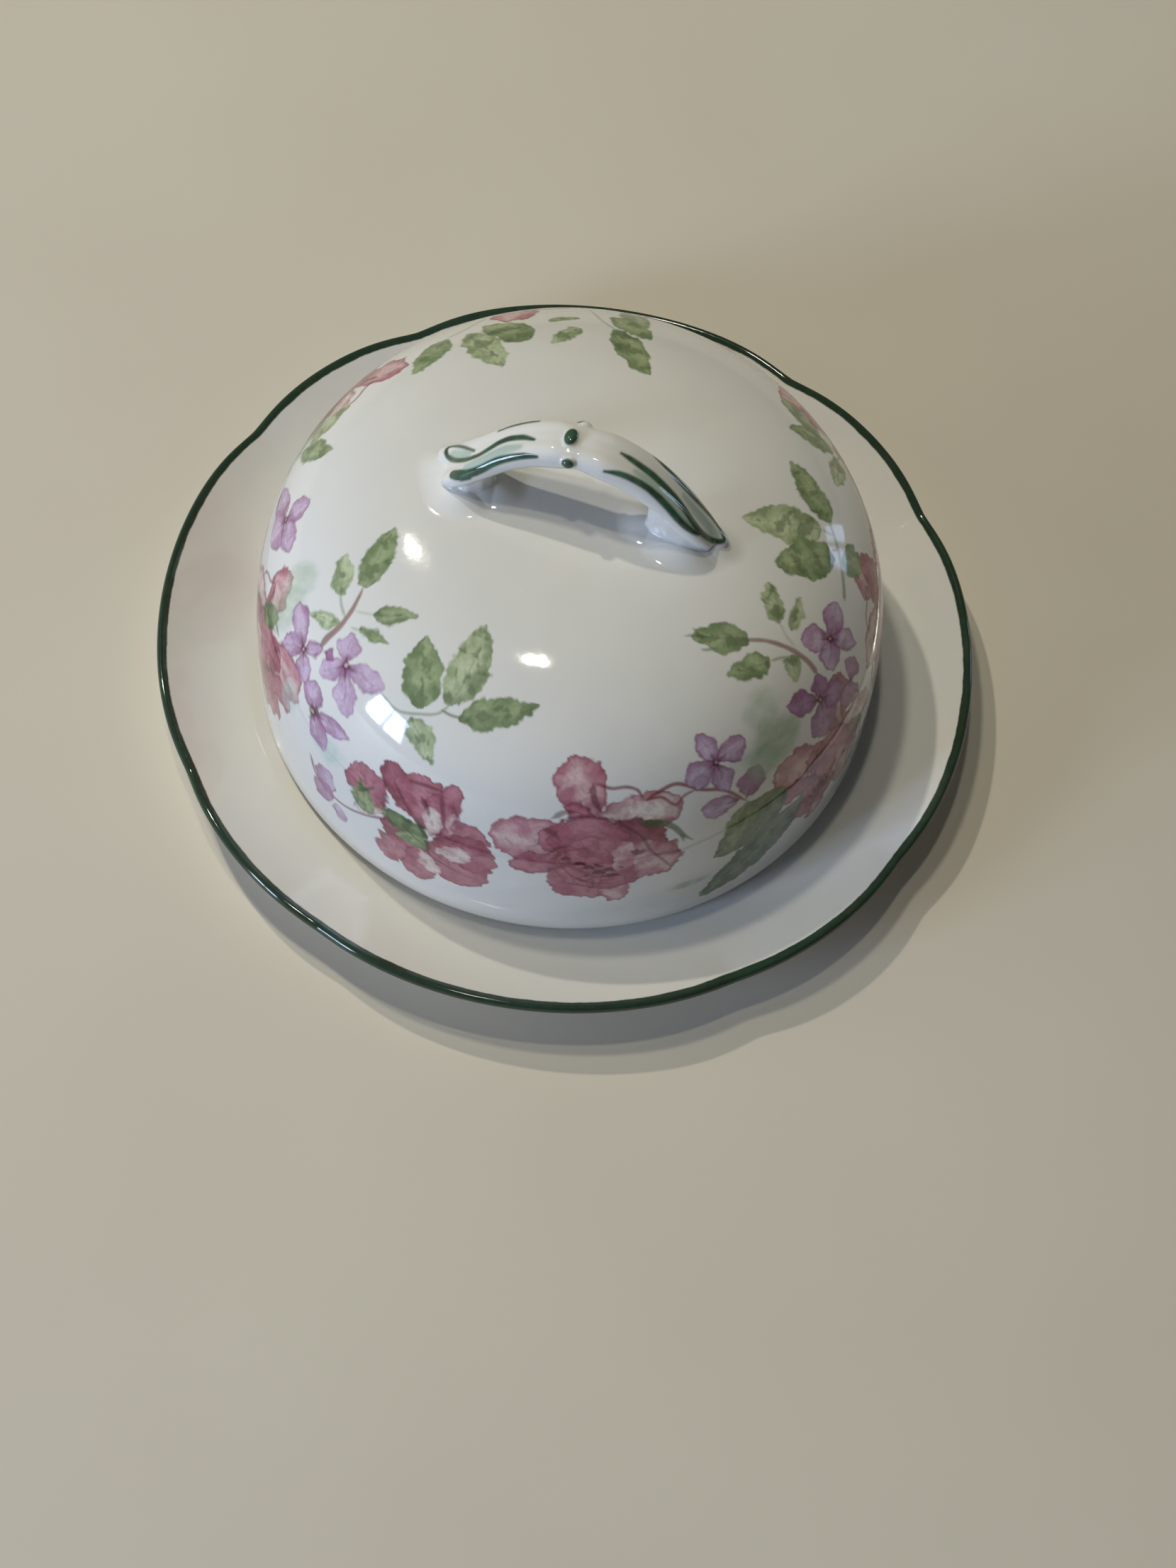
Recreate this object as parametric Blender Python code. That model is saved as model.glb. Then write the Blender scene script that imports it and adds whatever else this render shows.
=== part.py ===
"""Round covered butter dish in porcelain: a scalloped under-plate on a foot ring, and a domed cover with an arched
handle that lifts off it. Metres, +Z up. The origin is on the dish's axis, in the plane that the foot ring rests on."""

import math

import bmesh
import bpy
import numpy as np

# ---- plate ----
PLATE_RADIUS = 0.0880        # outer radius over the lobes of the rim
RIM_HEIGHT = 0.0166          # top of the rim above the table, in a lobe
WELL_RADIUS = 0.0690         # flat floor of the well
WELL_HEIGHT = 0.0060         # floor of the well above the table
RIM_THICKNESS = 0.0026
FLOOR_THICKNESS = 0.0034
FOOT_OUTER_RADIUS = 0.0536   # foot ring at its bottom
FOOT_INNER_RADIUS = 0.0504
NOTCH_CENTRES = [math.radians(45 + 90 * k + side * 15.2) for k in range(4) for side in (-1, 1)]
NOTCH_HALF_WIDTH = math.radians(6.6)
NOTCH_SHARPNESS = 1.47
NOTCH_DEPTH = 0.00100        # how far the rim comes in at a notch
NOTCH_DIP = 0.00145          # how far it drops there
SCALLOP_START = 0.0730       # inside this radius the plate is plainly round
PLATE_SEGMENTS = 120

# ---- cover ----
SEAT_GAP = 0.0003            # between the cover's foot and the floor of the well
COVER_RADIUS = 0.0665        # outer radius of the wall at its foot
COVER_HEIGHT = 0.0622        # crown above the foot, outside
COVER_ROUNDNESS = 3.1        # exponent on the radius: larger is a flatter crown
COVER_SHOULDER = 3.9         # exponent on the height: larger is a squarer shoulder
COVER_THICKNESS = 0.0030
COVER_FOOT_ROUND = 0.0009
COVER_SEGMENTS = 64
COVER_RINGS = 15

# ---- handle ----
HANDLE_AZIMUTH = math.radians(-10.2)   # the arch runs this way across the crown
HANDLE_HALF_SPAN = 0.0275
HANDLE_RISE = 0.0177                   # centre line of the arch above the crown
HANDLE_EXPONENT = 2.1
HANDLE_WIDTH = 0.0094
HANDLE_THICKNESS = 0.0056
COLLAR_WIDTH = 0.0112                  # the knuckle in the middle of the arch
COLLAR_THICKNESS = 0.0064
HANDLE_LEG = 0.0095                    # how far the legs are filled in below the strap
HANDLE_SWAY = (0.0022, 0.0013)         # how far the left and right legs bend towards the front
FORK_GROOVE = 0.16                     # depth of the furrow between the two strands, as a share of the thickness
HANDLE_GAP = 0.0003                    # between the handle's feet and the cover
HANDLE_STATIONS = 30
HANDLE_SIDES = 16


def clear_scene():
    for obj in list(bpy.data.objects):
        bpy.data.objects.remove(obj, do_unlink=True)


def material(name, colour, roughness):
    made = bpy.data.materials.new(name)
    made.use_nodes = True
    shader = made.node_tree.nodes["Principled BSDF"]
    shader.inputs["Base Color"].default_value = (*colour, 1.0)
    shader.inputs["Roughness"].default_value = roughness
    shader.inputs["Metallic"].default_value = 0.0
    made.diffuse_color = (*colour, 1.0)
    return made


def mesh_object(name, points, faces, finish=None):
    mesh = bpy.data.meshes.new(name)
    mesh.from_pydata([tuple(p) for p in points], [], faces)
    build = bmesh.new()
    build.from_mesh(mesh)
    bmesh.ops.recalc_face_normals(build, faces=build.faces)
    build.to_mesh(mesh)
    build.free()
    mesh.shade_smooth()
    mesh.set_sharp_from_angle(angle=math.radians(38))
    obj = bpy.data.objects.new(name, mesh)
    bpy.context.scene.collection.objects.link(obj)
    if finish is not None:
        mesh.materials.append(finish)
    return obj


def lathe(rings, segments, place, top_pole=None, bottom_pole=None):
    """Points and faces of a closed body of revolution. rings is a list of (radius, height) from its first cap to its last,
    place(radius, height, angle) gives each point, and a cap is a flat polygon unless its pole height is given."""
    points, faces = [], []
    for radius, height in rings:
        for k in range(segments):
            points.append(place(radius, height, 2 * math.pi * k / segments))
    for i in range(len(rings) - 1):
        for k in range(segments):
            after = (k + 1) % segments
            faces.append((i * segments + k, i * segments + after, (i + 1) * segments + after, (i + 1) * segments + k))
    for first, pole in ((0, top_pole), ((len(rings) - 1) * segments, bottom_pole)):
        if pole is None:
            faces.append(tuple(first + k for k in range(segments)))
        else:
            centre = len(points)
            points.append(place(0.0, pole, 0.0))
            faces += [(first + k, first + (k + 1) % segments, centre) for k in range(segments)]
    return points, faces


# ---- plate ----
def smoothstep(value):
    value = min(max(value, 0.0), 1.0)
    return value * value * (3 - 2 * value)


def notch(angle):
    """1 in the middle of a notch of the rim, falling to 0 along the lobes."""
    total = 0.0
    for centre in NOTCH_CENTRES:
        away = abs((angle - centre + math.pi) % (2 * math.pi) - math.pi)
        total += math.exp(-((away / NOTCH_HALF_WIDTH) ** NOTCH_SHARPNESS))
    return total


def scalloped(radius, height, angle):
    share = smoothstep((radius - SCALLOP_START) / (PLATE_RADIUS - SCALLOP_START))
    depth = notch(angle) * share
    radius -= NOTCH_DEPTH * depth
    return radius * math.cos(angle), radius * math.sin(angle), height - NOTCH_DIP * depth


def flange_height(radius):
    """Upper surface of the plate outside the well: it sweeps up from the floor and eases off towards the rim."""
    share = min(max((radius - WELL_RADIUS) / (PLATE_RADIUS - WELL_RADIUS), 0.0), 1.0)
    return WELL_HEIGHT + (RIM_HEIGHT - WELL_HEIGHT) * (1.5 * share**1.6 - 0.5 * share**2.6)


def plate_rings():
    rings = [(radius, flange_height(radius)) for radius in np.linspace(WELL_RADIUS, PLATE_RADIUS - 0.0012, 8)]
    edge = RIM_THICKNESS / 2
    middle = flange_height(PLATE_RADIUS - 0.0012) - edge + 0.0002
    for turn in np.radians([58, 20, -20, -58]):
        rings.append((PLATE_RADIUS - edge + edge * math.cos(turn), middle + edge * math.sin(turn)))
    for radius in np.linspace(PLATE_RADIUS - 0.0022, WELL_RADIUS - 0.003, 6):
        share = (PLATE_RADIUS - radius) / (PLATE_RADIUS - WELL_RADIUS + 0.003)
        rings.append((radius, flange_height(radius) - RIM_THICKNESS - 0.0008 * share - 0.0002))
    under = WELL_HEIGHT - FLOOR_THICKNESS
    rings += [
        (FOOT_OUTER_RADIUS + 0.0016, under),
        (FOOT_OUTER_RADIUS + 0.0003, 0.0004),
        (FOOT_OUTER_RADIUS, 0.0),
        (FOOT_INNER_RADIUS, 0.0),
        (FOOT_INNER_RADIUS - 0.0003, 0.0004),
        (FOOT_INNER_RADIUS - 0.0014, under),
    ]
    return rings


def make_plate():
    points, faces = lathe(plate_rings(), PLATE_SEGMENTS, scalloped)
    return mesh_object("plate", points, faces, material("plate_porcelain", (0.86, 0.84, 0.79), 0.12))


# ---- cover ----
COVER_FOOT_HEIGHT = WELL_HEIGHT + SEAT_GAP


def dome_ring(share, grow=0.0):
    """A point of the cover's outer profile, from its foot (share 0) to its crown (share 1), moved outwards by grow."""
    turn = share * math.pi / 2
    radius, height = (COVER_RADIUS + grow), (COVER_HEIGHT + grow)
    return radius * math.cos(turn) ** (2 / COVER_ROUNDNESS), height * math.sin(turn) ** (2 / COVER_SHOULDER)


def dome_rings(count, grow, lowest):
    """Rings up the wall and over the shoulder, spaced along the profile so that the shoulder stays round."""
    fine = [dome_ring(share, grow) for share in np.linspace(0.0, 1.0, 1500) ** 1.5]
    fine = [(radius, height) for radius, height in fine if height >= lowest and radius >= 0.004]
    steps = [0.0]
    for (r0, z0), (r1, z1) in zip(fine, fine[1:]):
        steps.append(steps[-1] + math.hypot(r1 - r0, z1 - z0))
    steps = np.array(steps)
    wanted = np.linspace(0.0, steps[-1], count)
    return [fine[int(np.searchsorted(steps, w))] if w < steps[-1] else fine[-1] for w in wanted]


def upright(radius, height, angle):
    return radius * math.cos(angle), radius * math.sin(angle), COVER_FOOT_HEIGHT + height


def make_cover(parent):
    outside = dome_rings(COVER_RINGS, 0.0, COVER_FOOT_ROUND)
    inside = dome_rings(COVER_RINGS - 1, -COVER_THICKNESS, COVER_FOOT_ROUND)
    foot = [
        (COVER_RADIUS - 0.0003, COVER_FOOT_ROUND * 0.3),
        (COVER_RADIUS - COVER_FOOT_ROUND, 0.0),
        (COVER_RADIUS - COVER_THICKNESS + COVER_FOOT_ROUND, 0.0),
        (COVER_RADIUS - COVER_THICKNESS + 0.0002, COVER_FOOT_ROUND * 0.3),
    ]
    rings = outside[::-1] + foot + inside
    points, faces = lathe(rings, COVER_SEGMENTS, upright, COVER_HEIGHT, COVER_HEIGHT - COVER_THICKNESS)
    dome = mesh_object("cover_dome", points, faces, material("cover_porcelain", (0.86, 0.86, 0.85), 0.10))
    dome.parent = parent
    return dome


# ---- handle ----
def arch(along):
    """Height of the handle's centre line above the cover's foot."""
    return COVER_HEIGHT + HANDLE_RISE * (1 - abs(along / HANDLE_HALF_SPAN) ** HANDLE_EXPONENT)


def bell(along, width):
    return math.exp(-((along / width) ** 2))


def handle_section(along):
    """(half width, half thickness, furrow) of the handle at a place along its arch."""
    collar = bell(along, 0.0026)
    flare = smoothstep((abs(along) - 0.0200) / 0.0075)
    half_width = HANDLE_WIDTH / 2 * (1 + 0.14 * bell(along, 0.0120)) + (COLLAR_WIDTH - HANDLE_WIDTH * 1.14) / 2 * collar + 0.0003 * flare
    half_thickness = HANDLE_THICKNESS / 2 + (COLLAR_THICKNESS - HANDLE_THICKNESS) / 2 * collar + 0.0005 * flare
    furrow = FORK_GROOVE * (1 - bell(along, 0.0055))
    leg = HANDLE_LEG * smoothstep((abs(along) - (0.0150 if along > 0 else 0.0180)) / 0.0075)
    sway = -HANDLE_SWAY[1 if along > 0 else 0] * smoothstep((abs(along) - 0.0080) / 0.0140)
    return half_width, half_thickness, furrow, leg, sway


def make_handle(parent):
    direction = np.array([math.cos(HANDLE_AZIMUTH), math.sin(HANDLE_AZIMUTH), 0.0])
    across = np.array([-direction[1], direction[0], 0.0])
    up = np.array([0.0, 0.0, 1.0])
    reach = HANDLE_HALF_SPAN + 0.0016
    points, faces = [], []
    for i in range(HANDLE_STATIONS + 1):
        along = reach * math.sin(math.pi * (i / HANDLE_STATIONS - 0.5))
        slope = (arch(along + 1e-5) - arch(along - 1e-5)) / 2e-5
        tangent = (direction + slope * up) / math.hypot(1.0, slope)
        outward = np.cross(tangent, across)
        outward = outward if outward[2] > 0 else -outward
        centre = direction * along + up * (COVER_FOOT_HEIGHT + arch(along))
        half_width, half_thickness, furrow, leg, sway = handle_section(along)
        for k in range(HANDLE_SIDES):
            turn = 2 * math.pi * k / HANDLE_SIDES
            side, rise = math.cos(turn), math.sin(turn)
            dip = 1 - furrow * bell(side, 0.30) * (1 if rise > 0 else 0.5)
            points.append(centre + across * (sway + half_width * side) + outward * (half_thickness * rise * dip + leg * min(rise, 0.0)))
    for i in range(HANDLE_STATIONS):
        for k in range(HANDLE_SIDES):
            after = (k + 1) % HANDLE_SIDES
            faces.append((i * HANDLE_SIDES + k, i * HANDLE_SIDES + after, (i + 1) * HANDLE_SIDES + after, (i + 1) * HANDLE_SIDES + k))
    faces.append(tuple(range(HANDLE_SIDES)))
    faces.append(tuple(HANDLE_STATIONS * HANDLE_SIDES + k for k in range(HANDLE_SIDES)))
    handle = mesh_object("handle", points, faces, material("handle_porcelain", (0.84, 0.87, 0.88), 0.10))

    # The feet follow the cover's crown: a solid of the crown's shape, a little larger, is taken out of the handle.
    rings = [ring for ring in dome_rings(40, HANDLE_GAP, COVER_HEIGHT * 0.55) if ring[0] < COVER_RADIUS * 0.9]
    crown_points, crown_faces = lathe(rings[::-1], COVER_SEGMENTS, upright, COVER_HEIGHT + HANDLE_GAP)
    crown = mesh_object("handle_seat_cutter", crown_points, crown_faces)
    crown.hide_render = True
    crown.display_type = "WIRE"
    crown.parent = parent
    cut = handle.modifiers.new("seat", "BOOLEAN")
    cut.operation = "DIFFERENCE"
    cut.solver = "EXACT"
    cut.object = crown
    handle.parent = parent
    return handle


clear_scene()
make_plate()
cover = bpy.data.objects.new("cover_lift_axis", None)
bpy.context.scene.collection.objects.link(cover)
make_cover(cover)
make_handle(cover)
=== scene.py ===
"""Covered butter dish in glazed porcelain: a scalloped plate with a painted rim line, a domed cover with
a garland of roses, lilac and leaves, and a handle of two strands laid side by side and bedded in slip.

The dish is centred on the Z axis and stands on z = 0. The front faces -Y and +X is to the right.
Working lengths are millimetres; meshes are written in metres."""

import math

import bpy
import numpy as np
from mathutils import Matrix, Vector
from mathutils.bvhtree import BVHTree
from mathutils.kdtree import KDTree


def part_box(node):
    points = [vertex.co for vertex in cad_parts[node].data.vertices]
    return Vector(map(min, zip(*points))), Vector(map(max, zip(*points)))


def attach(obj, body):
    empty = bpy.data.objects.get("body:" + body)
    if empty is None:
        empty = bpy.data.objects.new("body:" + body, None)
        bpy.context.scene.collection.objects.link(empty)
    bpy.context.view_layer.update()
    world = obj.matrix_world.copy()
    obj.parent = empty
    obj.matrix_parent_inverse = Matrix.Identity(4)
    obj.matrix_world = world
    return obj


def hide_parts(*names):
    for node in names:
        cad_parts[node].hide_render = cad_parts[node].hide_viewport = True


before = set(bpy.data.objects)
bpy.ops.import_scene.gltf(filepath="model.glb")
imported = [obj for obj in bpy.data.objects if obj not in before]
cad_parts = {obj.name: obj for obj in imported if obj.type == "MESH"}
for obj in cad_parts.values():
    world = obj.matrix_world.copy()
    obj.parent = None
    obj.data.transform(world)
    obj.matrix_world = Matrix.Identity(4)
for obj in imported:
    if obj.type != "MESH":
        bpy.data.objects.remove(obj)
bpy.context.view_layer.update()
MM = 0.001

# --- Sizes taken from the frame ---
_, plate_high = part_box("plate")
cover_low, cover_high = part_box("cover_dome")
PLATE_RADIUS = 1000 * plate_high.x
RIM_HEIGHT = 1000 * plate_high.z
COVER_RADIUS = 1000 * cover_high.x
COVER_FOOT = 1000 * cover_low.z
COVER_HEIGHT = 1000 * (cover_high.z - cover_low.z)
CROWN = COVER_FOOT + COVER_HEIGHT

# --- Proportions of the porcelain ---
WELL_RADIUS, WELL_HEIGHT = 69.0, 6.0
RIM_THICKNESS, FLOOR_THICKNESS = 2.6, 3.4
FOOT_OUTER, FOOT_INNER = 53.6, 50.4
NOTCH_CENTRES = np.radians([45 + 90 * k + side * 15.2 for k in range(4) for side in (-1, 1)])
NOTCH_HALF_WIDTH, NOTCH_SHARPNESS = math.radians(6.6), 1.47
NOTCH_DEPTH, NOTCH_DIP, SCALLOP_START = 1.0, 1.45, 73.0
PLATE_SEGMENTS = 900
COVER_ROUNDNESS, COVER_SHOULDER = 3.1, 3.9     # superellipse exponents across and up
COVER_THICKNESS, COVER_FOOT_ROUND = 3.0, 0.9
COVER_ROLL_IN, COVER_ROLL_HEIGHT = 1.8, 2.8    # how the outside of the foot rolls in
COVER_SEGMENTS = 1320
HANDLE_AZIMUTH = math.radians(-10.2)
HANDLE_HALF_SPAN, HANDLE_EXPONENT, HANDLE_RISE = 27.5, 2.1, 17.7


def smooth(value):
    value = np.clip(value, 0.0, 1.0)
    return value * value * (3 - 2 * value)


# --- Mesh building ---
def new_object(name, mesh):
    obj = bpy.data.objects.new(name, mesh)
    bpy.context.scene.collection.objects.link(obj)
    return obj


def set_float(mesh, name, values):
    data = mesh.attributes.new(name, "FLOAT", "POINT").data
    data.foreach_set("value", np.asarray(values, np.float32))


def ring_points(radius, height, angle):
    x = radius * np.cos(angle)
    points = [x, radius * np.sin(angle), np.broadcast_to(height, x.shape)]
    return np.stack(points, -1).reshape(-1, 3)


def mesh_from_rings(name, points, segments, first_height, last_height):
    """A closed surface through rings of points, each end closed by a fan to a pole on the axis. Faces
    point outwards when the rings run from the top, over the outside, to the inside or the bottom."""
    rings = len(points) // segments
    ring, spoke = np.meshgrid(np.arange(rings - 1), np.arange(segments), indexing="ij")
    after = (spoke + 1) % segments
    this, below = ring * segments, (ring + 1) * segments
    quads = np.stack([this + spoke, below + spoke, below + after, this + after], -1)
    spoke = np.arange(segments)
    after = (spoke + 1) % segments
    pole, last = rings * segments, (rings - 1) * segments
    first_fan = np.stack([np.full(segments, pole), spoke, after], -1)
    last_fan = np.stack([np.full(segments, pole + 1), last + after, last + spoke], -1)
    loops = np.concatenate([quads.ravel(), first_fan.ravel(), last_fan.ravel()]).astype(np.int32)
    totals = np.repeat([4, 3], [quads.size // 4, 2 * segments]).astype(np.int32)
    starts = np.concatenate([[0], np.cumsum(totals)[:-1]]).astype(np.int32)
    points = np.vstack([points, [(0, 0, first_height), (0, 0, last_height)]])
    mesh = bpy.data.meshes.new(name)
    mesh.vertices.add(len(points))
    mesh.vertices.foreach_set("co", (points * MM).astype(np.float32).ravel())
    mesh.loops.add(len(loops))
    mesh.loops.foreach_set("vertex_index", loops)
    mesh.polygons.add(len(totals))
    mesh.polygons.foreach_set("loop_start", starts)
    mesh.polygons.foreach_set("loop_total", totals)
    mesh.update(calc_edges=True)
    mesh.validate()
    mesh.shade_smooth()
    return mesh


def lengths_along(line):
    """The distance along a flat polyline at each of its points."""
    return np.concatenate([[0.0], np.cumsum(np.hypot(*np.diff(line, axis=0).T))])


def resample(line, spacing):
    """The flat polyline cut into steps of about the given length."""
    line = np.asarray(line, float)
    run = lengths_along(line)
    at = np.linspace(0.0, run[-1], max(2, int(round(run[-1] / spacing)) + 1))
    return np.stack([np.interp(at, run, line[:, 0]), np.interp(at, run, line[:, 1])], -1)


# --- Plate ---
def notch(angle):
    total = np.zeros_like(angle)
    for centre in NOTCH_CENTRES:
        away = np.abs((angle - centre + math.pi) % (2 * math.pi) - math.pi)
        total += np.exp(-((away / NOTCH_HALF_WIDTH) ** NOTCH_SHARPNESS))
    return total


def flange_height(radius):
    share = np.clip((radius - WELL_RADIUS) / (PLATE_RADIUS - WELL_RADIUS), 0.0, 1.0)
    return WELL_HEIGHT + (RIM_HEIGHT - WELL_HEIGHT) * (1.5 * share**1.6 - 0.5 * share**2.6)


def plate_profile():
    """(radius, height) from the middle of the top, round the rim, back over the foot to the middle."""
    well = [(r, WELL_HEIGHT - 0.10 * (1 - (r / WELL_RADIUS) ** 2))
            for r in np.linspace(1.2, WELL_RADIUS - 0.6, 70)]
    flange = [(r, flange_height(r)) for r in np.linspace(WELL_RADIUS, PLATE_RADIUS - 1.1, 60)]
    edge = RIM_THICKNESS / 2
    middle = flange_height(PLATE_RADIUS - 1.2) - edge + 0.2
    rim = [(PLATE_RADIUS - edge + edge * math.cos(turn), middle + edge * math.sin(turn))
           for turn in np.radians(np.linspace(62, -62, 15))]
    under = []
    for radius in np.linspace(PLATE_RADIUS - 2.0, WELL_RADIUS - 3.0, 30):
        share = (PLATE_RADIUS - radius) / (PLATE_RADIUS - WELL_RADIUS + 3.0)
        under.append((radius, flange_height(radius) - RIM_THICKNESS - 0.8 * share - 0.2))
    low = WELL_HEIGHT - FLOOR_THICKNESS
    foot = [
        (FOOT_OUTER + 4.2, low + 0.05), (FOOT_OUTER + 1.9, low - 0.15), (FOOT_OUTER + 1.0, low - 0.8),
        (FOOT_OUTER + 0.45, 0.75), (FOOT_OUTER + 0.2, 0.25), (FOOT_OUTER - 0.15, 0.02),
        (FOOT_OUTER - 0.5, 0.0), (FOOT_INNER + 0.5, 0.0), (FOOT_INNER + 0.15, 0.02),
        (FOOT_INNER - 0.2, 0.25), (FOOT_INNER - 0.45, 0.75), (FOOT_INNER - 0.9, low - 0.8),
        (FOOT_INNER - 1.8, low - 0.15), (FOOT_INNER - 4.0, low + 0.05),
        (20.0, low + 0.12), (1.2, low + 0.15),
    ]
    return np.vstack([
        resample(well, 1.6),
        resample([well[-1], *flange], 0.42)[1:],
        resample([flange[-1], *rim, under[0]], 0.16)[1:-1],
        resample(under, 0.8),
        resample([under[-1], *foot], 0.3)[1:],
        foot[-1:],                             # the innermost ring is doubled
    ])


def build_plate():
    profile = plate_profile()
    run = lengths_along(profile)
    tip = int(np.argmax(profile[:, 0]))
    angle = np.linspace(0, 2 * math.pi, PLATE_SEGMENTS, endpoint=False)
    outward = smooth((profile[:, 0] - SCALLOP_START) / (PLATE_RADIUS - SCALLOP_START))
    share = outward[:, None] * notch(angle)[None]
    points = ring_points(profile[:, :1] - NOTCH_DEPTH * share, profile[:, 1:] - NOTCH_DIP * share, angle)
    mesh = mesh_from_rings("plate_glazed", points, PLATE_SEGMENTS, profile[0, 1], profile[-1, 1])
    # Distance from the rim's tip along the surface, negative on the upper side; the poles come last
    from_rim = np.repeat(run - run[tip], PLATE_SEGMENTS)
    set_float(mesh, "from_rim", np.append(from_rim, [-80.0, 90.0]))
    bare = np.repeat(smooth((0.35 - profile[:, 1]) / 0.3), PLATE_SEGMENTS)
    set_float(mesh, "bare", np.append(bare, [0.0, 0.0]))
    return new_object("plate_glazed", mesh)


# --- Cover ---
def dome_profile(grow=0.0):
    """(radius, height above the table) from the crown to the foot."""
    turn = 0.5 * math.pi * np.linspace(1.0, 0.0, 6000) ** 1.3
    radius = (COVER_RADIUS + grow) * np.cos(turn) ** (2 / COVER_ROUNDNESS)
    height = (COVER_HEIGHT + grow) * np.sin(turn) ** (2 / COVER_SHOULDER)
    return np.stack([radius, COVER_FOOT + height], -1)


OUTER = dome_profile()
OUTER_RUN = lengths_along(OUTER)


def outline_at(down):
    """Radius and height of the outside at a distance from the crown along the surface."""
    return np.array([np.interp(down, OUTER_RUN, OUTER[:, 0]), np.interp(down, OUTER_RUN, OUTER[:, 1])])


def dome_height(along, across):
    """Height of the outside at a distance along and across the handle."""
    return np.interp(np.hypot(along, across), OUTER[:, 0], OUTER[:, 1])


def on_dome(angle, down):
    """The point of the outside at an angle in degrees and a distance down from the crown, with the
    tangents there: anticlockwise as seen from above, and towards the crown."""
    angle = np.radians(np.asarray(angle, float))
    down = np.asarray(down, float)
    radius, height = outline_at(down)
    step = outline_at(down + 0.4) - outline_at(down - 0.4)
    step_out, step_up = step / np.hypot(*step)
    cos, sin = np.cos(angle), np.sin(angle)
    point = np.stack([radius * cos, radius * sin, height], -1)
    around = np.stack([-sin, cos, np.zeros_like(angle)], -1)
    return point, around, -np.stack([step_out * cos, step_out * sin, step_up], -1)


def beside(centre, right, up):
    """The place on the cover that lies right and up, in mm, of another."""
    down = centre[1] - up
    return centre[0] + math.degrees(right / float(outline_at(down)[0])), down


def build_cover():
    lowest = OUTER_RUN[-1] - COVER_ROLL_HEIGHT - 0.2
    downs = np.concatenate([np.arange(1.5, 26.0, 1.0), np.arange(26.0, lowest, 0.30)])
    roll_in, roll_height, edge = COVER_ROLL_IN, COVER_ROLL_HEIGHT, COVER_FOOT_ROUND
    foot = [(COVER_RADIUS - roll_in + roll_in * math.cos(turn),
             COVER_FOOT + roll_height - roll_height * math.sin(turn))
            for turn in np.radians(np.linspace(4, 86, 14))]
    foot += [(COVER_RADIUS - COVER_THICKNESS + edge - edge * math.cos(turn),
              COVER_FOOT + edge - edge * math.sin(turn))
             for turn in np.radians(np.linspace(84, 12, 6))]
    inner = dome_profile(-COVER_THICKNESS)[::-1]
    inner = inner[inner[:, 1] > COVER_FOOT + edge]
    profile = np.vstack([outline_at(downs).T, foot, resample(inner[inner[:, 0] > 1.5], 1.6)])
    angle = np.linspace(0, 2 * math.pi, COVER_SEGMENTS, endpoint=False)
    points = ring_points(profile[:, :1], profile[:, 1:], angle)
    top = OUTER[0, 1]
    mesh = mesh_from_rings("cover_glazed", points, COVER_SEGMENTS, top, top - COVER_THICKNESS)

    painted = len(downs) * COVER_SEGMENTS
    painter = Painter(downs, points[:painted].reshape(len(downs), COVER_SEGMENTS, 3))
    for motif, rows in GARLAND:
        for row in rows:
            getattr(painter, motif)(*row)
    decor = np.zeros((len(points) + 2, 4), np.float32)
    decor[:painted] = painter.colour.reshape(-1, 4)
    mesh.attributes.new("decor", "FLOAT_COLOR", "POINT").data.foreach_set("color", decor.ravel())
    bare = np.repeat(smooth((COVER_FOOT + 0.28 - profile[:, 1]) / 0.2), COVER_SEGMENTS)
    set_float(mesh, "bare", np.append(bare, [0.0, 0.0]))
    return new_object("cover_glazed", mesh)


# --- Handle: two strands side by side over an arch, splayed at their tips, with dots at the waist ---
# Places on it are (along, across): along runs right and slightly to the front, across to the back.
ALONG = np.array([math.cos(HANDLE_AZIMUTH), math.sin(HANDLE_AZIMUTH), 0.0])
ACROSS = np.array([-ALONG[1], ALONG[0], 0.0])
UP = np.array([0.0, 0.0, 1.0])

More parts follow.
